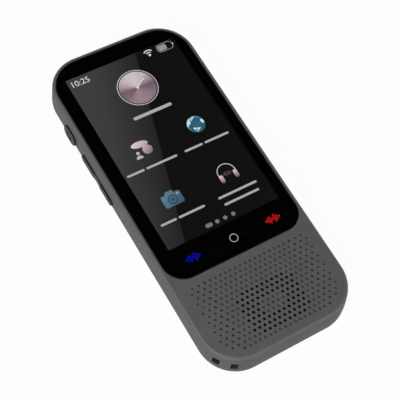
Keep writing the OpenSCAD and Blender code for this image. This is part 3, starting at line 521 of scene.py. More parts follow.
# ---------- front cover ----------
# The upper shell: face and walls in one moulding of grey plastic, its low end leaning in towards
# the face. It holds the glass well, the speaker holes, the openings of the side keys and connector,
# and the loop at the corner.
end_lean = 1.45
lean_from = 5
loop_x = -16.9
loop_y = -59.45
loop_turn = 224
floor_z = 14.7
screw_y = -58.69
power_y = 46.28
volume_y = 22.68
switch_reach = 8.5
pinhole_y = 4.4
key_z = 7.85
grille_top = -39.44
row_pitch = 2.139


def mouth(piece, low, high, outwards, width, steps=1):
    """breaks the edges where an opening, inside a box in millimetres, meets the outside"""
    way = Vector(outwards)

    def at_mouth(edge):
        if len(edge.link_faces) != 2:
            return False
        facing = sorted(abs(f.normal.dot(way)) for f in edge.link_faces)
        inside = all(low[i] <= v.co[i] / mm <= high[i] for v in edge.verts for i in range(3))
        return inside and facing[0] < 0.45 and facing[1] > 0.6 and edge.calc_face_angle(0) > 0.8

    bevel(piece, at_mouth, width, steps)


def paint(piece, test, main, other):
    """gives a piece one finish, and another on the faces that pass a test"""
    piece.data.materials.clear()
    piece.data.materials.append(main)
    piece.data.materials.append(other)
    edit(piece)
    pick("FACE", test)
    piece.active_material_index = 1
    bpy.ops.object.material_slot_assign()
    leave_edit()


def copy_of(piece):
    """a copy with a mesh of its own"""
    twin = piece.copy()
    twin.data = piece.data.copy()
    bpy.context.scene.collection.objects.link(twin)
    return twin


def put(piece, place, turn=0.0, size=(1, 1)):
    """sizes a piece made at the middle of the part, turns it and moves it to its place"""
    piece.data.transform(Matrix.Translation((place[0] * mm, place[1] * mm, 0))
                         @ Matrix.Rotation(turn, 4, "Z") @ Matrix.Diagonal((*size, 1, 1)))
    return piece


def ring_part(name, inner, outer, reach, low, high, steps):
    """part of a ring round the axis of the loop's corner, reaching so many degrees to each side"""
    bpy.ops.mesh.primitive_plane_add(size=1, rotation=(math.pi / 2, 0, 0))
    piece = added(name)
    piece.scale = ((outer - inner) * mm, (high - low) * mm, 1)
    piece.location = ((outer + inner) / 2 * mm, 0, (low + high) / 2 * mm)
    bpy.ops.object.transform_apply()
    edit(piece)
    pick_all()
    bpy.ops.mesh.spin(steps=steps, angle=math.radians(2 * reach), center=(0, 0, 0), axis=(0, 0, 1))
    pick_all()
    bpy.ops.mesh.normals_make_consistent(inside=False)
    leave_edit()
    spun_back = min(v.co.y for v in piece.data.vertices) < -1e-6
    start = loop_turn + reach if spun_back else loop_turn - reach
    return put(piece, (loop_x, loop_y), math.radians(start))


front = whole_body("front_shell")
cut_level(front, seam_z, above=True)
edit(front)
for height in (8.5, 10, 11.3, 12.4, 13.3, 14):
    pick_all()
    bpy.ops.mesh.bisect(plane_co=(0, 0, height * mm), plane_no=(0, 0, 1))
leave_edit()
for corner in front.data.vertices:
    if corner.co.y < 0 and corner.co.z > lean_from * mm:
        corner.co.y += end_lean * mm * ((corner.co.z / mm - lean_from) / (face_z - lean_from)) ** 2
boolean(front, rear_room("room"))
boolean(front, slab("speaker_room", (-room_w, -72.4, 11.25), (room_w, -36.72, 14.6), room_r, 0, corner_steps))
boolean(front, block("key_pocket", (-room_w, 0.4, 4.4), (-27.2, 53.78, room_top)))
for x, y in ((-22, 66), (22, 66), (-20, 35.5), (20, 35.5)):
    boolean(front, rod("boss", (x, y, 10.925), 2.3, 1.85), "UNION")
    boolean(front, rod("pilot", (x, y, 10.775), 0.7, 2.55, sides=20))
for x in (-19.5, 19.5):
    boolean(front, rod("boss", (x, screw_y, 13.45), 2.1, 2.5), "UNION")
    boolean(front, rod("pilot", (x, screw_y, 12.7), 0.7, 3.4, sides=20))
for y in (power_y, volume_y + switch_reach, volume_y - switch_reach, pinhole_y):
    boolean(front, block("rib", (-27.2, y - 1.5, 5.6), (-26.2, y + 1.5, 11.85)), "UNION")
boolean(front, ring_part("loop_block", 10, 15.1, 26.82, 6.7, floor_z, 16), "UNION")


# the glass well with the display's well and the key board's well in its floor, and the cable slots
def like_glass(name, more, low, high):
    """a slab with the outline of the cover glass, larger by so much all round"""
    return slab(name, (-31.2 - more, -35.22 - more, low), (31.2 + more, 73.88 + more, high),
                9 + more, 14.05 + more, 24)


def like_panel(name, more, low, high):
    """a slab with the outline of the display's tray, larger by so much all round"""
    return slab(name, (-27.8 - more, -25.42 - more, low), (27.8 + more, 67.38 + more, high), 0.4, 0.4, 3)


boolean(front, like_glass("glass_well", 0.15, floor_z, 17))
well_mouth = like_glass("well_mouth", 0.5, 15.85, 16.4)
round_rim(well_mouth, 2, 15.85, 0.4, 1)
boolean(front, well_mouth)
boolean(front, like_panel("display_well", 0.3, 12.55, 17))
boolean(front, block("key_well", (-25.3, -32.12, 13.3), (25.3, -26.52, 17)))
boolean(front, block("cable_well", (20, -31.62, 13.3), (27.6, -28.02, 17)))
boolean(front, block("key_cable_slot", (26.7, -31.62, 11.25), (27.6, -28.02, 17)))
boolean(front, block("display_cable_slot", (-9.3, 58.18, 11.25), (9.3, 59.58, 13.05)))

# openings in the walls, and the two slots with the channel behind the post of the loop
boolean(front, pill("power_hole", (-34, 41.28, 4.35), (-30.6, 51.28, 11.35), 0, 3.495, 16))
boolean(front, pill("volume_hole", (-34, 9.68, 6.05), (-30.6, 35.68, 9.65), 0, 1.795, 12))
boolean(front, pill("connector_hole", (-4.62, 69.65, 5.59), (4.62, 76, 9.15), 1, 1.775, 12))
mouth(front, (-5, 75, 5), (5, 76, 10), (0, 1, 0), 0.2, 2)
for x in (-13, 13):
    boolean(front, rod("sound_hole", (x, 75, 10.9), 0.5, 4, 1, 24))
    mouth(front, (x - 1, 75, 10), (x + 1, 76, 12), (0, 1, 0), 0.1)

# the rounded edge of the face carries a narrow paler line, a painted highlight where the light catches it
edge_highlight_paint = moulded("edge_highlight_paint", (0.104, 0.104, 0.106), (0.114, 0.114, 0.116), 0.5, 0.22, 0.01, 0.08)


def on_edge(face):
    """whether a face lies on the rounded edge, and not in the mouth of the glass well"""
    centre = face.calc_center_median()
    outside = centre.y < -37 * mm or depth_in_outline(centre) < 1.4
    return 0.4 < face.normal.z < 0.9 and centre.z > floor_z * mm and outside


# the paler line on the rounded edge is a painted highlight
paint(front, on_edge, shell_plastic, edge_highlight_paint)

# bores and the inside of the loop are painted black, a painted shade, as no light gets in
bore_shade_paint = moulded("bore_shade_paint", grey(0.004), grey(0.007), 0.6, 0.22, 0.01)
pin = rod("pinhole", (-32, pinhole_y, key_z), 0.5, 3, 0, 24)
flare(pin, 0, -33.5, 0.7, -0.4, 1.8)
pin.data.materials.append(bore_shade_paint)
boolean(front, pin)

channel = ring_part("channel", 11.4, 16.5, 19.3, 8.3, 12.2, 20)
boolean(channel, ring_part("post", 14.1, 17, 8.3, 7, 14, 10))
loop_axis = Vector((loop_x * mm, loop_y * mm, 0))


def end_wall(face):
    """whether a face closes one end of a slot"""
    outwards = (face.calc_center_median() - loop_axis).normalized()
    return abs(face.normal.z) < 0.5 and abs(face.normal.dot(outwards)) < 0.3


# the channel is painted black as shade, and its end walls keep the grey plastic so they show lit
paint(channel, end_wall, bore_shade_paint, shell_plastic)
boolean(front, channel)
loop_way = math.radians(loop_turn)
mouth(front, (-32, -75, 8), (-20, -62, 13.2), (math.cos(loop_way), math.sin(loop_way), 0), 0.16, 2)


# speaker holes: fifteen staggered rows, spread out and smaller near the sides. The ones over the
# speaker go through, round a closed middle, and the others are dimples.
def hole_tool(name, depth, look):
    """a drill for one hole, with the broken edge of its mouth"""
    tool = rod(name, (0, 0, face_z + (0.2 - depth) / 2), 0.6, 0.2 + depth, sides=16)
    flare(tool, 2, face_z + 0.2, -0.27, 0.27, 1.5)
    tool.data.materials.append(look)
    return tool


# the dimples are painted darker than the face, a painted shade in their hollows
dimple_shade_paint = moulded("dimple_shade_paint", (0.043, 0.043, 0.044), (0.049, 0.049, 0.05), 0.6, 0.22, 0.006)
open_tool = hole_tool("open_hole", 2.0, bore_shade_paint)
blind_tool = hole_tool("dimple", 0.3, dimple_shade_paint)
small_tool = hole_tool("small_dimple", 0.6, dimple_shade_paint)
tools = []
for row in range(15):
    last = {13: 20, 14: 17}.get(row, 21 + row % 2)
    for k in range(-last, last + 1, 2):
        far = abs(k)
        x = math.copysign(far * 1.141 if far <= 16 else 18.256 + (far - 16) * 1.403, k) if k else 0
        size = 0.68 if far >= 21 else 0.78 if far >= 19 else 0.92 if far >= 17 else 1
        off = abs(row - 9)
        through = off <= 4 and far <= (9 if off == 4 else 11) and not (off <= 1 and far < 5)
        tool = open_tool if through else blind_tool if size == 1 else small_tool
        tools.append(put(copy_of(tool), (x, grille_top - row * row_pitch), 0, (size, size)))
for tool in (open_tool, blind_tool, small_tool):
    bpy.data.objects.remove(tool)
boolean(front, join("holes", tools))
break_seam(front)
smooth(front)
fit(front, shell_plastic, "front_shell", "front_cover")

# ---------- display ----------
# A four inch panel in a steel tray, on a foam frame. The lit picture is a sheet of square pixels
# 0.108 mm apart: a dark ground with a paler part on the left, a painted reflection, whose border runs down to
#                 the left.
tray_top = 14.75
picture_low = (-25.15, -20.91)
picture_high = (26.83, 66.65)
picture_top = 14.76
pixel = 0.108

panel = like_panel("panel_tray", 0, 12.85, tray_top)
edit(panel)
pick("FACE", lambda f: all_at(f, 2, tray_top))
bpy.ops.mesh.inset(thickness=0.3 * mm, depth=0)
bpy.ops.mesh.inset(thickness=0.05 * mm, depth=-0.1 * mm)
leave_edit()
smooth(panel)
tray_steel = finish("tray_steel", (0.3, 0.3, 0.31), 0.4, 1.0)
glossed(tray_steel, pattern(tray_steel, 0.6, 5, (1, 0.05, 1)), 0.32, 0.5)
raised(tray_steel, pattern(tray_steel, 0.3, 4, (1, 0.05, 1)), 0.003)
fit(panel, tray_steel, "display", "lcd_panel")


def lit(name, colour=(0, 0, 0)):
    """a lit part: black when dark, and crossed by the fine grid between the pixels"""
    made = finish(name, grey(0.002), 0.35, gloss=0.0)
    nodes, links = made.node_tree.nodes, made.node_tree.links
    given(nodes["Principled BSDF"], {"Emission Strength": 1.0})
    grid = given(nodes.new("ShaderNodeTexBrick"), {
        "Scale": 1 / (pixel * mm), "Brick Width": 1.0, "Row Height": 1.0, "Mortar Size": 0.06,
        "Mortar Smooth": 0.3, "Mortar": (0.8, 0.8, 0.8, 1),
        "Color1": (1, 1, 1, 1), "Color2": (0.97, 0.97, 0.97, 1),
    })
    grid.offset = 0
    tint = nodes.new("ShaderNodeMix")
    tint.name = "tint"
    tint.data_type = "RGBA"
    tint.blend_type = "MULTIPLY"
    given(tint, {"Factor": 1, 6: (*colour, 1)})
    links.new(own_place(made), grid.inputs["Vector"])
    links.new(grid.outputs["Color"], tint.inputs[7])
    feed(made, "Emission Color", tint.outputs[2])
    return made


def slope(made, start, end, stops, kind="LINEAR"):
    """colours of a lit part from one point of the face to another, or round the first one"""
    nodes, links = made.node_tree.nodes, made.node_tree.links
    run = Vector((end[0] - start[0], end[1] - start[1]))
    turn = nodes.new("ShaderNodeMapping")
    turn.vector_type = "TEXTURE"
    given(turn, {
        "Location": (start[0] * mm, start[1] * mm, picture_top * mm),
        "Rotation": (0, 0, math.atan2(run.y, run.x)), "Scale": [run.length * mm] * 3,
    })
    course = nodes.new("ShaderNodeTexGradient")
    course.gradient_type = kind
    links.new(own_place(made), turn.inputs["Vector"])
    links.new(turn.outputs["Vector"], course.inputs["Vector"])
    links.new(ramp(made, course.outputs["Fac"], stops), nodes["tint"].inputs[6])
    return made


def show(name, pieces, look, slot="display"):
    """joins the parts of one figure and hands it over"""
    return fit(join(name, pieces), look, slot)


def picture_field(name, low, high):
    """a slab with the outline of the lit picture"""
    return slab(name, (*picture_low, low), (*picture_high, high), 0.2, 0.2, 3)


picture = picture_field("lit_picture", 14.65, picture_top)
# the paler part on the left of the ground is a painted reflection
ground = slope(lit("lit_ground_and_glare"), (-35.7, 36.4), (-3.1, 26.6), [
    (0, (0.056, 0.056, 0.057)), (0.42, (0.052, 0.052, 0.053)), (0.7, (0.036, 0.036, 0.037)),
    (0.985, (0.019, 0.019, 0.02)), (1.0, (0.0055, 0.0055, 0.0058)),
])
fit(picture, ground, "display")

# the strip along the top: the time, the radio's arcs and the battery, in plain marks
figure = (14.755, 14.775)
on_figure = (14.776, 14.79)
arcs_at = (13.57, 63.05)


def bar(name, low, high, radius=0.0, steps=4, z=figure):
    """a flat lit bar with rounded ends"""
    return slab(name, (*low, z[0]), (*high, z[1]), radius, radius, steps)


def disc(name, centre, radius, sides=48, z=figure):
    """a flat lit disc"""
    return rod(name, (*centre, (z[0] + z[1]) / 2), radius, z[1] - z[0], 2, sides)


def hoop(name, centre, radius, width, sides=64, z=figure):
    """a flat lit ring"""
    piece = disc(name, centre, radius, sides, z)
    edit(piece)
    pick("FACE", lambda f: len(f.verts) == sides)
    bpy.ops.mesh.inset(thickness=width * mm)
    pick("FACE", lambda f: len(f.verts) == sides)
    bpy.ops.mesh.bridge_edge_loops()
    leave_edit()
    return piece


def half_plane(piece, point, keep):
    """cuts a lit part along a line of the face and keeps the side that a direction points to"""
    edit(piece)
    pick_all()
    bpy.ops.mesh.bisect(plane_co=(point[0] * mm, point[1] * mm, 0), plane_no=(*keep, 0), use_fill=True,
                        clear_inner=True, clear_outer=False)
    leave_edit()
    return piece


bpy.ops.object.text_add(location=(-24.2 * mm, 62.35 * mm, figure[0] * mm))
digits = added("time_digits")
digits.data.body = "10:25"
digits.data.size = 3.95 * mm
digits.data.extrude = 0.01 * mm
bpy.ops.object.convert(target="MESH")
digits = bpy.context.object
widest = max(v.co.x for v in digits.data.vertices)
digits.scale = (8.7 * mm / widest, 1, 1)
bpy.ops.object.transform_apply()
edit(digits)
pick_all()
bpy.ops.mesh.remove_doubles(threshold=0.001 * mm)
leave_edit()

arcs = [disc("arc_dot", arcs_at, 0.55, 24)]
for radius in (1.65, 2.85):
    arc = half_plane(hoop("arc", arcs_at, radius, 0.5, 48), arcs_at, (0.72, 0.69))
    arcs.append(half_plane(arc, arcs_at, (-0.72, 0.69)))
battery_case = bar("battery_case", (17.82, 62.2), (25.3, 66.2), 1.6, 8)
edit(battery_case)
pick("FACE", lambda f: abs(f.normal.z) > 0.9)
bpy.ops.mesh.inset(thickness=0.11 * mm)
pick("FACE", lambda f: abs(f.normal.z) > 0.9 and f.calc_area() > 10 * mm * mm)
bpy.ops.mesh.bridge_edge_loops()
leave_edit()
battery_tip = bar("battery_tip", (25.4, 63.75), (25.75, 64.65), 0.15, 3)
show("status_marks", [digits, *arcs, battery_case, battery_tip], lit("white_light", grey(0.8)))
show("battery_level", [bar("battery_level", (18.4, 62.8), (22.3, 65.6), 0.6)],
     lit("grey_light", grey(0.33)))

# the clock: a satin dial in a thin bright ring, with a short hand, its tail and a hub
dial_at = (0.85, 50.85)
on_dial = (14.775, 14.79)
show("clock_dial", [disc("dial", dial_at, 8.0, 96)], slope(lit("dial_light"), dial_at, (1.85, 50.85), [
    (0, (0.18, 0.13, 0.15)), (0.067, (0.22, 0.16, 0.18)), (0.165, (0.36, 0.24, 0.27)),
    (0.243, (0.37, 0.24, 0.27)), (0.363, (0.27, 0.2, 0.24)), (0.486, (0.16, 0.11, 0.145)),
    (0.553, (0.36, 0.29, 0.33)), (0.628, (0.6, 0.52, 0.57)), (0.742, (0.7, 0.6, 0.66)),
    (0.862, (0.62, 0.5, 0.55)), (0.925, (0.5, 0.35, 0.4)), (0.96, (0.32, 0.22, 0.25)),
    (1, (0.18, 0.13, 0.15)),
], "RADIAL"))
hub = disc("hub", dial_at, 0.6, 32, on_dial)
hand = put(bar("hand", (-0.25, 0), (0.25, 5.5), 0.24, 4, on_dial), dial_at, math.radians(-56))
rim = hoop("rim", dial_at, 8.8, 0.26, 96, on_dial)
ticks = [put(bar("tick", (-0.08, 6.9), (0.08, 7.4), 0, 1, on_dial), dial_at, math.radians(30 * k))
         for k in range(12)]
show("clock_hand", [hub, hand, rim], lit("pearl_light", (0.82, 0.76, 0.78)))
tail = put(bar("tail", (-0.14, -5.6), (0.14, 0), 0.1, 2, (14.772, 14.785)), dial_at, math.radians(-62))
shade = put(bar("shade", (0.3, -0.6), (0.62, 4.6), 0.14, 3, (14.772, 14.7845)), dial_at, math.radians(-56))
show("clock_marks", [tail, shade, *ticks], lit("shade_light", (0.12, 0.075, 0.1)))

# names of the place and of the four functions, as plain bars with no lettering
words = [bar("word", (x0, y - h / 2), (x1, y + h / 2), h * 0.45) for x0, x1, y, h in (
    (-8.3, 9.8, 37.75, 1.5),
    (-23.9, -15.9, 15.0, 1.0), (-14.9, -0.6, 15.0, 1.0),
    (3.1, 11.7, 15.0, 1.0), (12.7, 24.3, 15.0, 1.0),
    (-22.5, -15.3, -10.2, 1.0), (-14.3, -2.2, -10.2, 1.0),
    (4.3, 22.6, -10.1, 1.0), (5.1, 21.6, -13.65, 1.0),
)]
show("word_bars", words, lit("text_light", grey(0.46)))
show("page_marks", [bar("page", (-6.78, -19.5), (-3.58, -17.7), 0.88, 6)]
     + [disc("page", (x, -18.6), 0.9, 32) for x in (-1.35, 2.4, 6.2)], lit("page_light", (0.22, 0.195, 0.2)))

# two people's speech: two overlapping bubbles and a bust
bubbles = [
    put(disc("bubble", (0, 0), 3.6, 48), (-12.1, 26.2), -0.08, (1.05, 0.42)),
    disc("bubble", (-10.1, 22.85), 2.15, 48, (14.7552, 14.7752)),
]
show("speech_marks", bubbles, slope(lit("rose_light"), (-15.5, 28), (-9, 20.5), [
    (0, (0.85, 0.68, 0.77)), (0.45, (0.66, 0.48, 0.58)), (1, (0.24, 0.15, 0.2)),
]))
head = disc("head", (-14.65, 22.75), 0.75, 32, on_figure)
bust = half_plane(disc("bust", (-14.8, 20.1), 1.55, 48, (14.7758, 14.7898)), (-14.8, 20.0), (0, 1))
show("person_mark", [head, bust], lit("silver_light", (0.56, 0.52, 0.54)))

# the globe: sea with paler land, and round the lower left its shaded side
globe_at = (13.95, 24.3)
globe_light = lit("globe_light")
land = ramp(globe_light, pattern(globe_light, 1.7, 1.0), [
    (0.36, (0.06, 0.22, 0.31)), (0.44, (0.58, 0.84, 0.9)),
])
globe_light.node_tree.links.new(land, globe_light.node_tree.nodes["tint"].inputs[6])
show("globe_mark", [disc("globe", globe_at, 3.95, 64)], slope(
    lit("globe_sea_light"), (14.35, 23.6), (18.95, 23.6), [
        (0, (0.42, 0.68, 0.74)), (0.07, (0.12, 0.3, 0.38)), (0.25, (0.02, 0.11, 0.16)),
        (0.5, (0.025, 0.12, 0.19)), (1, (0.04, 0.14, 0.22)),
    ], "SPHERICAL"))
north = half_plane(disc("north", globe_at, 3.8, 48, on_figure), (12.5, 26.1), (-0.58, 0.81))
east = put(disc("east", (0, 0), 1, 12, on_figure), (17.1, 24.65), 0.2, (0.66, 1.15))
south = disc("south", (13.35, 22.1), 1.75, 24, on_figure)
for point, keep in (
    ((11.85, 23.5), (-0.386, -0.922)), ((11.75, 23.0), (0.887, 0.46)), ((15.2, 22.1), (-0.53, 0.85)),
):
    half_plane(south, point, keep)
show("globe_land_mark", [north, east, south], globe_light)

# the camera mark: a body with a hump, a lens and a flash
body = bar("body", (-16.7, -4.8), (-8.0, 0.9), 0.8, 5)
hump = bar("hump", (-14.3, 0.2), (-10.6, 2.1), 0.6, 4, (14.7552, 14.7748))
show("camera_body_mark", [body, hump], slope(lit("teal_light"), (-16, 1.5), (-9, -5), [
    (0, (0.13, 0.26, 0.34)), (0.5, (0.085, 0.17, 0.24)), (1, (0.045, 0.1, 0.15)),
]))
lens_at = (-12.3, -2.0)
lenses = [hoop("lens", lens_at, 2.1, 0.55, 48, on_figure), disc("lens", lens_at, 0.75, 32, on_figure)]
show("camera_lens_mark", lenses, lit("sea_light", (0.02, 0.07, 0.13)))
show("camera_flash_mark", [disc("flash", (-9.3, -0.2), 0.45, 24, on_figure)],
     lit("pale_light", (0.3, 0.5, 0.56)))

# the headphones mark: a band, two cups and a small wave between them
band_x = 13.67
wave_y = -1.6
band = half_plane(hoop("band", (band_x, -1.0), 4.1, 0.38, 64), (band_x, wave_y), (0, 1))
show("band_mark", [band], lit("bright_light", (0.6, 0.57, 0.56)))
cups = [bar("cup", (x, -5.0), (x + 1.8, -1.3), 0.8, 5, on_figure) for x in (9.45, 16.1)]
show("cup_marks", cups, slope(lit("cup_light"), (9.4, -1.2), (9.4, -5.1), [
    (0, (0.8, 0.68, 0.68)), (0.45, (0.5, 0.37, 0.38)), (1, (0.14, 0.08, 0.09)),
]))


def beats(middle, pitch, half, heights, radius, steps, z=figure):
    """a row of upright bars about a point, as a sound wave"""
    row = []
    for k, high in enumerate(heights, -3):
        x = middle[0] + pitch * k
        row.append(bar("beat", (x - half, middle[1] - high / 2), (x + half, middle[1] + high / 2),
                       radius, steps, z))
    return row


show("small_wave", beats((band_x, wave_y), 0.62, 0.15, (0.7, 1.5, 2.3, 1.1, 2.3, 1.5, 0.7), 0.14, 3),
     lit("dim_light", (0.13, 0.09, 0.09)))

# ---------- cover glass ----------
# A slab of clear glass with a ground edge. Black ink under it hides all but the display's window,
# and three marks in the ink are lit from below: a blue wave, a ring and a red wave.
glass = like_glass("glass_slab", 0, 14.925, face_z)
round_rim(glass, 2, face_z, 0.18, 3)
smooth(glass)
clear_glass = finish("clear_glass", (1, 1, 1), 0.0, gloss=0.3, clear=1.0)
inked_edge = finish("inked_edge", grey(0.006), 0.5, gloss=0.15)
glossed(inked_edge, pattern(inked_edge, 0.3), 0.45, 0.6)
paint(glass, lambda f: abs(f.normal.z) < 0.99, clear_glass, inked_edge)
fit(glass, clear_glass, "cover_glass", "cover_glass")

ink = like_glass("glass_ink", -0.1, 14.9, 14.915)
boolean(ink, picture_field("ink_window", 14, 15))
black_ink = finish("black_ink", grey(0.002), 0.6, gloss=0.0)
glossed(black_ink, pattern(black_ink, 0.4), 0.5, 0.7)
fit(ink, black_ink, "cover_glass", "cover_glass")

in_ink = (14.914, 14.92)
for name, x, colour in (
    ("blue_wave", -18.15, (0.004, 0.004, 0.55)), ("red_wave", 19.25, (0.78, 0.012, 0.012)),
):
    show(name, beats((x, -27.9), 1.02, 0.24, (1.1, 2.4, 3.3, 1.5, 3.8, 2.4, 1.1), 0.22, 4, in_ink),
         lit(name + "_light", colour), "light_guide")
show("home_ring", [hoop("home", (0.75, -27.95), 1.75, 0.15, 64, in_ink)], lit("ring_light", (1, 1, 1)),
     "light_guide")

# ---------- power button and volume key ----------
# Keys of darker plastic stand 0.75 mm out of the left wall, each held inside by a flange. The power
# button has a sunk ring and bar; the volume key has a dip in its middle and a sign near each end.
key_x = -33.65
dip = 0.42
key_plastic = moulded("key_plastic", (0.026, 0.026, 0.027), (0.032, 0.032, 0.033), 0.5, 0.18, 0.008, 0.15)
# black for the pressed marks, and painted shade on the keys' sides
key_mark_and_shade = moulded("key_mark_and_shade", grey(0.004), grey(0.007), 0.6, 0.18, 0.006, 0.1)


def key(name, y, length, height, flange_x, flange_h):
    """a side key: rounded face, sides painted black as painted shade, and the flange that holds it inside"""
    cap = pill(name, (key_x, y - length / 2, key_z - height / 2),
               (flange_x + 0.1, y + length / 2, key_z + height / 2), 0, height / 2 - 0.005, 16)
    round_rim(cap, 0, key_x, 0.3, 4)
    flange = block("flange", (flange_x, y - length / 2 - 1.2, key_z - flange_h / 2),
                   (flange_x + 0.6, y + length / 2 + 1.2, key_z + flange_h / 2))
    boolean(cap, flange, "UNION")
    # the sides are painted black: painted shade of the gap round the key
    paint(cap, lambda f: f.normal.x > -0.3, key_plastic, key_mark_and_shade)
    return cap


def press_in(cap, die):
    """presses a mark into a key, and blackens it"""
    die.data.materials.clear()
    die.data.materials.append(key_mark_and_shade)
    boolean(cap, die)


power = key("power_cap", power_y, 9.7, 6.7, -31, 6)
boolean(power, rod("nub", (-30.3, power_y, key_z), 1.05, 1.2, 0), "UNION")
groove = rod("groove", (key_x, power_y, key_z), 1.8, 0.5, 0, 48)
boolean(groove, rod("core", (key_x, power_y, key_z), 1.1, 1, 0, 48))
boolean(groove, block("gap", (-34.5, power_y - 0.6, key_z), (-33, power_y + 0.6, 11)))
press_in(power, groove)
press_in(power, pill("bar", (-34, power_y - 0.24, 7.95), (-33.4, power_y + 0.24, 10.0), 0, 0.23, 4))
smooth(power)
fit(power, key_plastic, "side_key", "power_button", body="power_key")

volume = key("volume_cap", volume_y, 25.7, 3.3, -30.72, 4.8)
for y in (volume_y + switch_reach, volume_y - switch_reach):
    boolean(volume, rod("nub", (-30.16, y, key_z), 1.05, 0.92, 0), "UNION")
boolean(volume, rod("rib", (-30.54, volume_y, key_z), 0.5, 4.8), "UNION")
dip_r = (3.5 ** 2 + dip ** 2) / (2 * dip)
boolean(volume, rod("dip", (key_x + dip - dip_r, volume_y, key_z), dip_r, 8, 2, 256))
for low, high in (((31.4, 7.6), (33.3, 8.1)), ((32.1, 7.0), (32.6, 8.7)), ((12.0, 7.6), (13.9, 8.1))):
    press_in(volume, block("sign", (-34, *low), (-33.5, *high)))
smooth(volume)
fit(volume, key_plastic, "side_key", "volume_rocker", body="volume_key")

# ---------- side switches ----------
# Three kinds of dome switch on a narrow board inside the left wall, each worked by a small plunger of
# black plastic. The board is soldered to a flexible strip that runs to the main board.


def bare_metal(name, colour, roughness, grain, stretch=(1, 1, 1)):
    """rolled or turned metal with fine lines along the directions that aren't stretched"""
    made = finish(name, colour, roughness, 1.0)
    tinted(made, pattern(made, grain * 8), [c * 0.88 for c in colour], colour)
    glossed(made, pattern(made, grain, 5, stretch), roughness - 0.07, roughness + 0.09)
    raised(made, pattern(made, grain, 5, stretch), 0.002)
    return made


def board(name, mask, copper):
    """a circuit board: coloured solder mask with a net of slightly paler tracks under it"""
    made = finish(name, mask, 0.4)
    net = made.node_tree.nodes.new("ShaderNodeTexVoronoi")
    net.distance = "CHEBYCHEV"
    net.feature = "F2"
    given(net, {"Scale": 1 / (1.6 * mm)})
    made.node_tree.links.new(own_place(made), net.inputs["Vector"])
    tinted(made, net.outputs["Distance"], mask, copper, 0.66, 0.7)
    raised(made, net.outputs["Distance"], 0.01)
    glossed(made, pattern(made, 0.8), 0.32, 0.48)
    return made


green_board = board("green_board", (0.006, 0.06, 0.025), (0.018, 0.12, 0.05))
flex_amber = finish("flex_amber", (0.32, 0.13, 0.02), 0.3)
tinted(flex_amber, pattern(flex_amber, 1.1, 2, (1, 0.06, 1)), (0.3, 0.12, 0.018), (0.42, 0.2, 0.05))
glossed(flex_amber, pattern(flex_amber, 0.7), 0.24, 0.38)
raised(flex_amber, pattern(flex_amber, 0.5, 2, (1, 0.06, 1)), 0.008)
dress(green_board, "side_switch_board")
dress(flex_amber, "side_switch_flex")
dress(bare_metal("switch_steel", (0.55, 0.55, 0.54), 0.3, 0.2),
      "power_switch", "volume_switches", "reset_switch")
dress(moulded("plunger_black", grey(0.012), grey(0.018), 0.45, 0.12, 0.004),
      "power_plunger", "volume_up_plunger", "volume_down_plunger", "reset_plunger")

# ---------- under the glass ----------
# Black double-sided tape holds the glass, a foam frame carries the display, and a small board with
# three lights under a milky light guide shines through the marks in the ink.
grey_foam = moulded("grey_foam", (0.02, 0.02, 0.021), (0.05, 0.05, 0.052), 0.9, 0.35, 0.06, 0.1)
milk_plastic = finish("milk_plastic", grey(0.8), 0.3, clear=0.4)
tinted(milk_plastic, pattern(milk_plastic, 2), (0.76, 0.76, 0.77), grey(0.84))
glossed(milk_plastic, pattern(milk_plastic, 0.5), 0.24, 0.38)
plug_plastic = moulded("plug_plastic", (0.55, 0.52, 0.45), (0.62, 0.59, 0.52), 0.45, 0.2, 0.004)
dress(moulded("black_tape", grey(0.008), grey(0.014), 0.75, 0.3, 0.01, 0.3), "glass_tape")
dress(grey_foam, "display_foam")
dress(flex_amber, "display_flex", "key_flex")
dress(plug_plastic, "display_connector", "key_connector")
dress(green_board, "touch_key_board")
dress(moulded("pale_resin", (0.72, 0.7, 0.52), (0.8, 0.78, 0.62), 0.35, 0.2, 0.004), "key_lights")
dress(milk_plastic, "key_light_guide")

# ---------- main board ----------
# A glass-fibre board under the upper half of the display, held by four steel screws. It carries the
# chips, two of them under tinned steel cans, and the parts that reach the upper wall.
screw_steel = bare_metal("screw_steel", grey(0.5), 0.28, 0.12)
dress(green_board, "main_board")
dress(screw_steel, "board_screws")
dress(bare_metal("can_steel", (0.62, 0.62, 0.6), 0.36, 0.25, (1, 0.08, 1)),
      "processor_shield", "radio_shield")
dress(moulded("chip_resin", (0.01, 0.01, 0.011), (0.016, 0.016, 0.017), 0.55, 0.15, 0.004),
      "processor_chip", "memory_chip", "radio_chip")

# ---------- USB-C socket and microphones ----------
# The socket's shell is drawn from stainless sheet with its mouth rolled round; the black tongue has
# gold contacts on both sides. Each microphone is a gilt can behind a rubber duct to its hole.
socket_steel = bare_metal("socket_steel", (0.58, 0.57, 0.55), 0.26, 0.2, (1, 0.1, 1))
socket_y = 75.15
tongue_y = 74.35
socket = pill("socket_shell", (-4.47, 66.65, 5.74), (4.47, socket_y, 9.0), 1, 1.6, 14)
round_rim(socket, 1, socket_y, 0.12, 3)
boolean(socket, pill("room", (-4.17, 67.65, 6.04), (4.17, 76, 8.7), 1, 1.3, 14))
roll = pill("roll", (-4.28, 75.03, 5.93), (4.28, 76, 8.81), 1, 1.41, 14)
round_rim(roll, 1, 75.03, 0.11, 2)
boolean(socket, roll)
smooth(socket)
fit(socket, socket_steel, "connector_steel", "usb_c_shell")

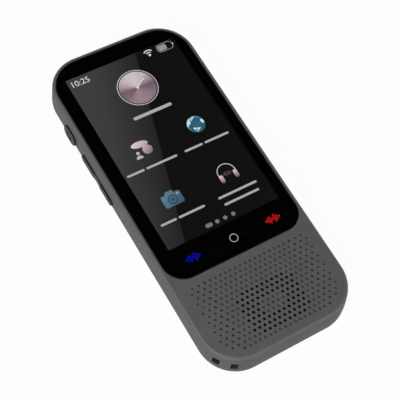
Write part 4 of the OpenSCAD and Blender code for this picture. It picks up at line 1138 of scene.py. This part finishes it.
tongue = block("contact_tongue", (-3.35, 67.65, 7.02), (3.35, tongue_y, 7.72))
bevel(tongue, lambda e: all_at(e, 1, tongue_y), 0.15, 2)
smooth(tongue)
fit(tongue, moulded("tongue_plastic", grey(0.012), grey(0.02), 0.4, 0.12, 0.003),
    "connector_plastic", "usb_c_tongue")
contact = block("contact", (-0.13, 70.9, 7.0), (0.13, 74.0, 7.74))
bevel(contact, lambda e: runs_along(e, 0), 0.06, 1)
others = [put(copy_of(contact), (0.5 * k - 2.75, 0)) for k in range(1, 12)]
gold = bare_metal("gold", (0.8, 0.55, 0.2), 0.22, 0.1)
show("contact_strips", [put(contact, (-2.75, 0)), *others], gold, "gold_contact")
dress(bare_metal("gilt_can", (0.7, 0.52, 0.25), 0.32, 0.15), "microphones")
dress(moulded("black_rubber", grey(0.01), grey(0.016), 0.7, 0.2, 0.008, 0.3),
      "microphone_boots")

# ---------- battery ----------
# A lithium pouch in matt foil, taped at its edge, with its protection board, lead and plug, on foam
# pads over the back.
pouch_foil = bare_metal("pouch_foil", grey(0.6), 0.42, 2.5)
raised(pouch_foil, pattern(pouch_foil, 6, 3), 0.12)
dress(pouch_foil, "battery")
dress(moulded("white_tape", (0.62, 0.6, 0.5), (0.7, 0.68, 0.6), 0.6, 0.4, 0.008, 0.3), "battery_tape")
dress(green_board, "battery_circuit")
dress(moulded("lead_sleeve", (0.3, 0.012, 0.01), (0.36, 0.016, 0.012), 0.4, 0.3, 0.004), "battery_lead")
dress(plug_plastic, "battery_connector")
dress(grey_foam, "battery_foam")

# ---------- speaker ----------
# A black woven mesh keeps dust out behind the open holes. Below it a foam gasket, a moulded frame
# with a paper cone, and a nickelled magnet; two screws hold it and two wires lead to the plug.
mesh_cloth = finish("mesh_cloth", grey(0.006), 0.7)
nodes, links = mesh_cloth.node_tree.nodes, mesh_cloth.node_tree.links
crossing = nodes.new("ShaderNodeMath")
crossing.operation = "MAXIMUM"
for k, way in enumerate("XY"):
    threads = nodes.new("ShaderNodeTexWave")
    threads.bands_direction = way
    given(threads, {"Scale": 0.314 / (0.16 * mm)})
    links.new(own_place(mesh_cloth), threads.inputs["Vector"])
    links.new(threads.outputs["Fac"], crossing.inputs[k])
tinted(mesh_cloth, crossing.outputs[0], grey(0.001), grey(0.012))
raised(mesh_cloth, crossing.outputs[0], 0.05)
frame_plastic = moulded("frame_plastic", (0.014, 0.014, 0.015), (0.022, 0.022, 0.023), 0.5, 0.2, 0.006)
dress(mesh_cloth, "speaker_mesh")
dress(grey_foam, "speaker_gasket")
dress(frame_plastic, "speaker_frame")
dress(moulded("cone_paper", (0.02, 0.019, 0.018), (0.04, 0.038, 0.036), 0.85, 0.5, 0.03, 0.2),
      "speaker_cone")
dress(bare_metal("magnet_nickel", (0.56, 0.55, 0.52), 0.25, 0.2), "speaker_magnet")
dress(screw_steel, "speaker_screws")
dress(moulded("wire_sleeve", grey(0.014), grey(0.02), 0.45, 0.3, 0.004), "speaker_wires")
dress(plug_plastic, "speaker_connector")

# ---------- camera module, flash and antenna ----------
# The camera module stands on the main board behind its window, the flash light on a board of its own,
# and the antenna is a printed strip on two sprung gold pins.
dress(frame_plastic, "camera_module")
dress(moulded("phosphor", (0.72, 0.6, 0.12), (0.8, 0.68, 0.18), 0.4, 0.15, 0.004), "flash_led")
dress(green_board, "flash_board")
dress(flex_amber, "wifi_antenna")
dress(gold, "antenna_pins")
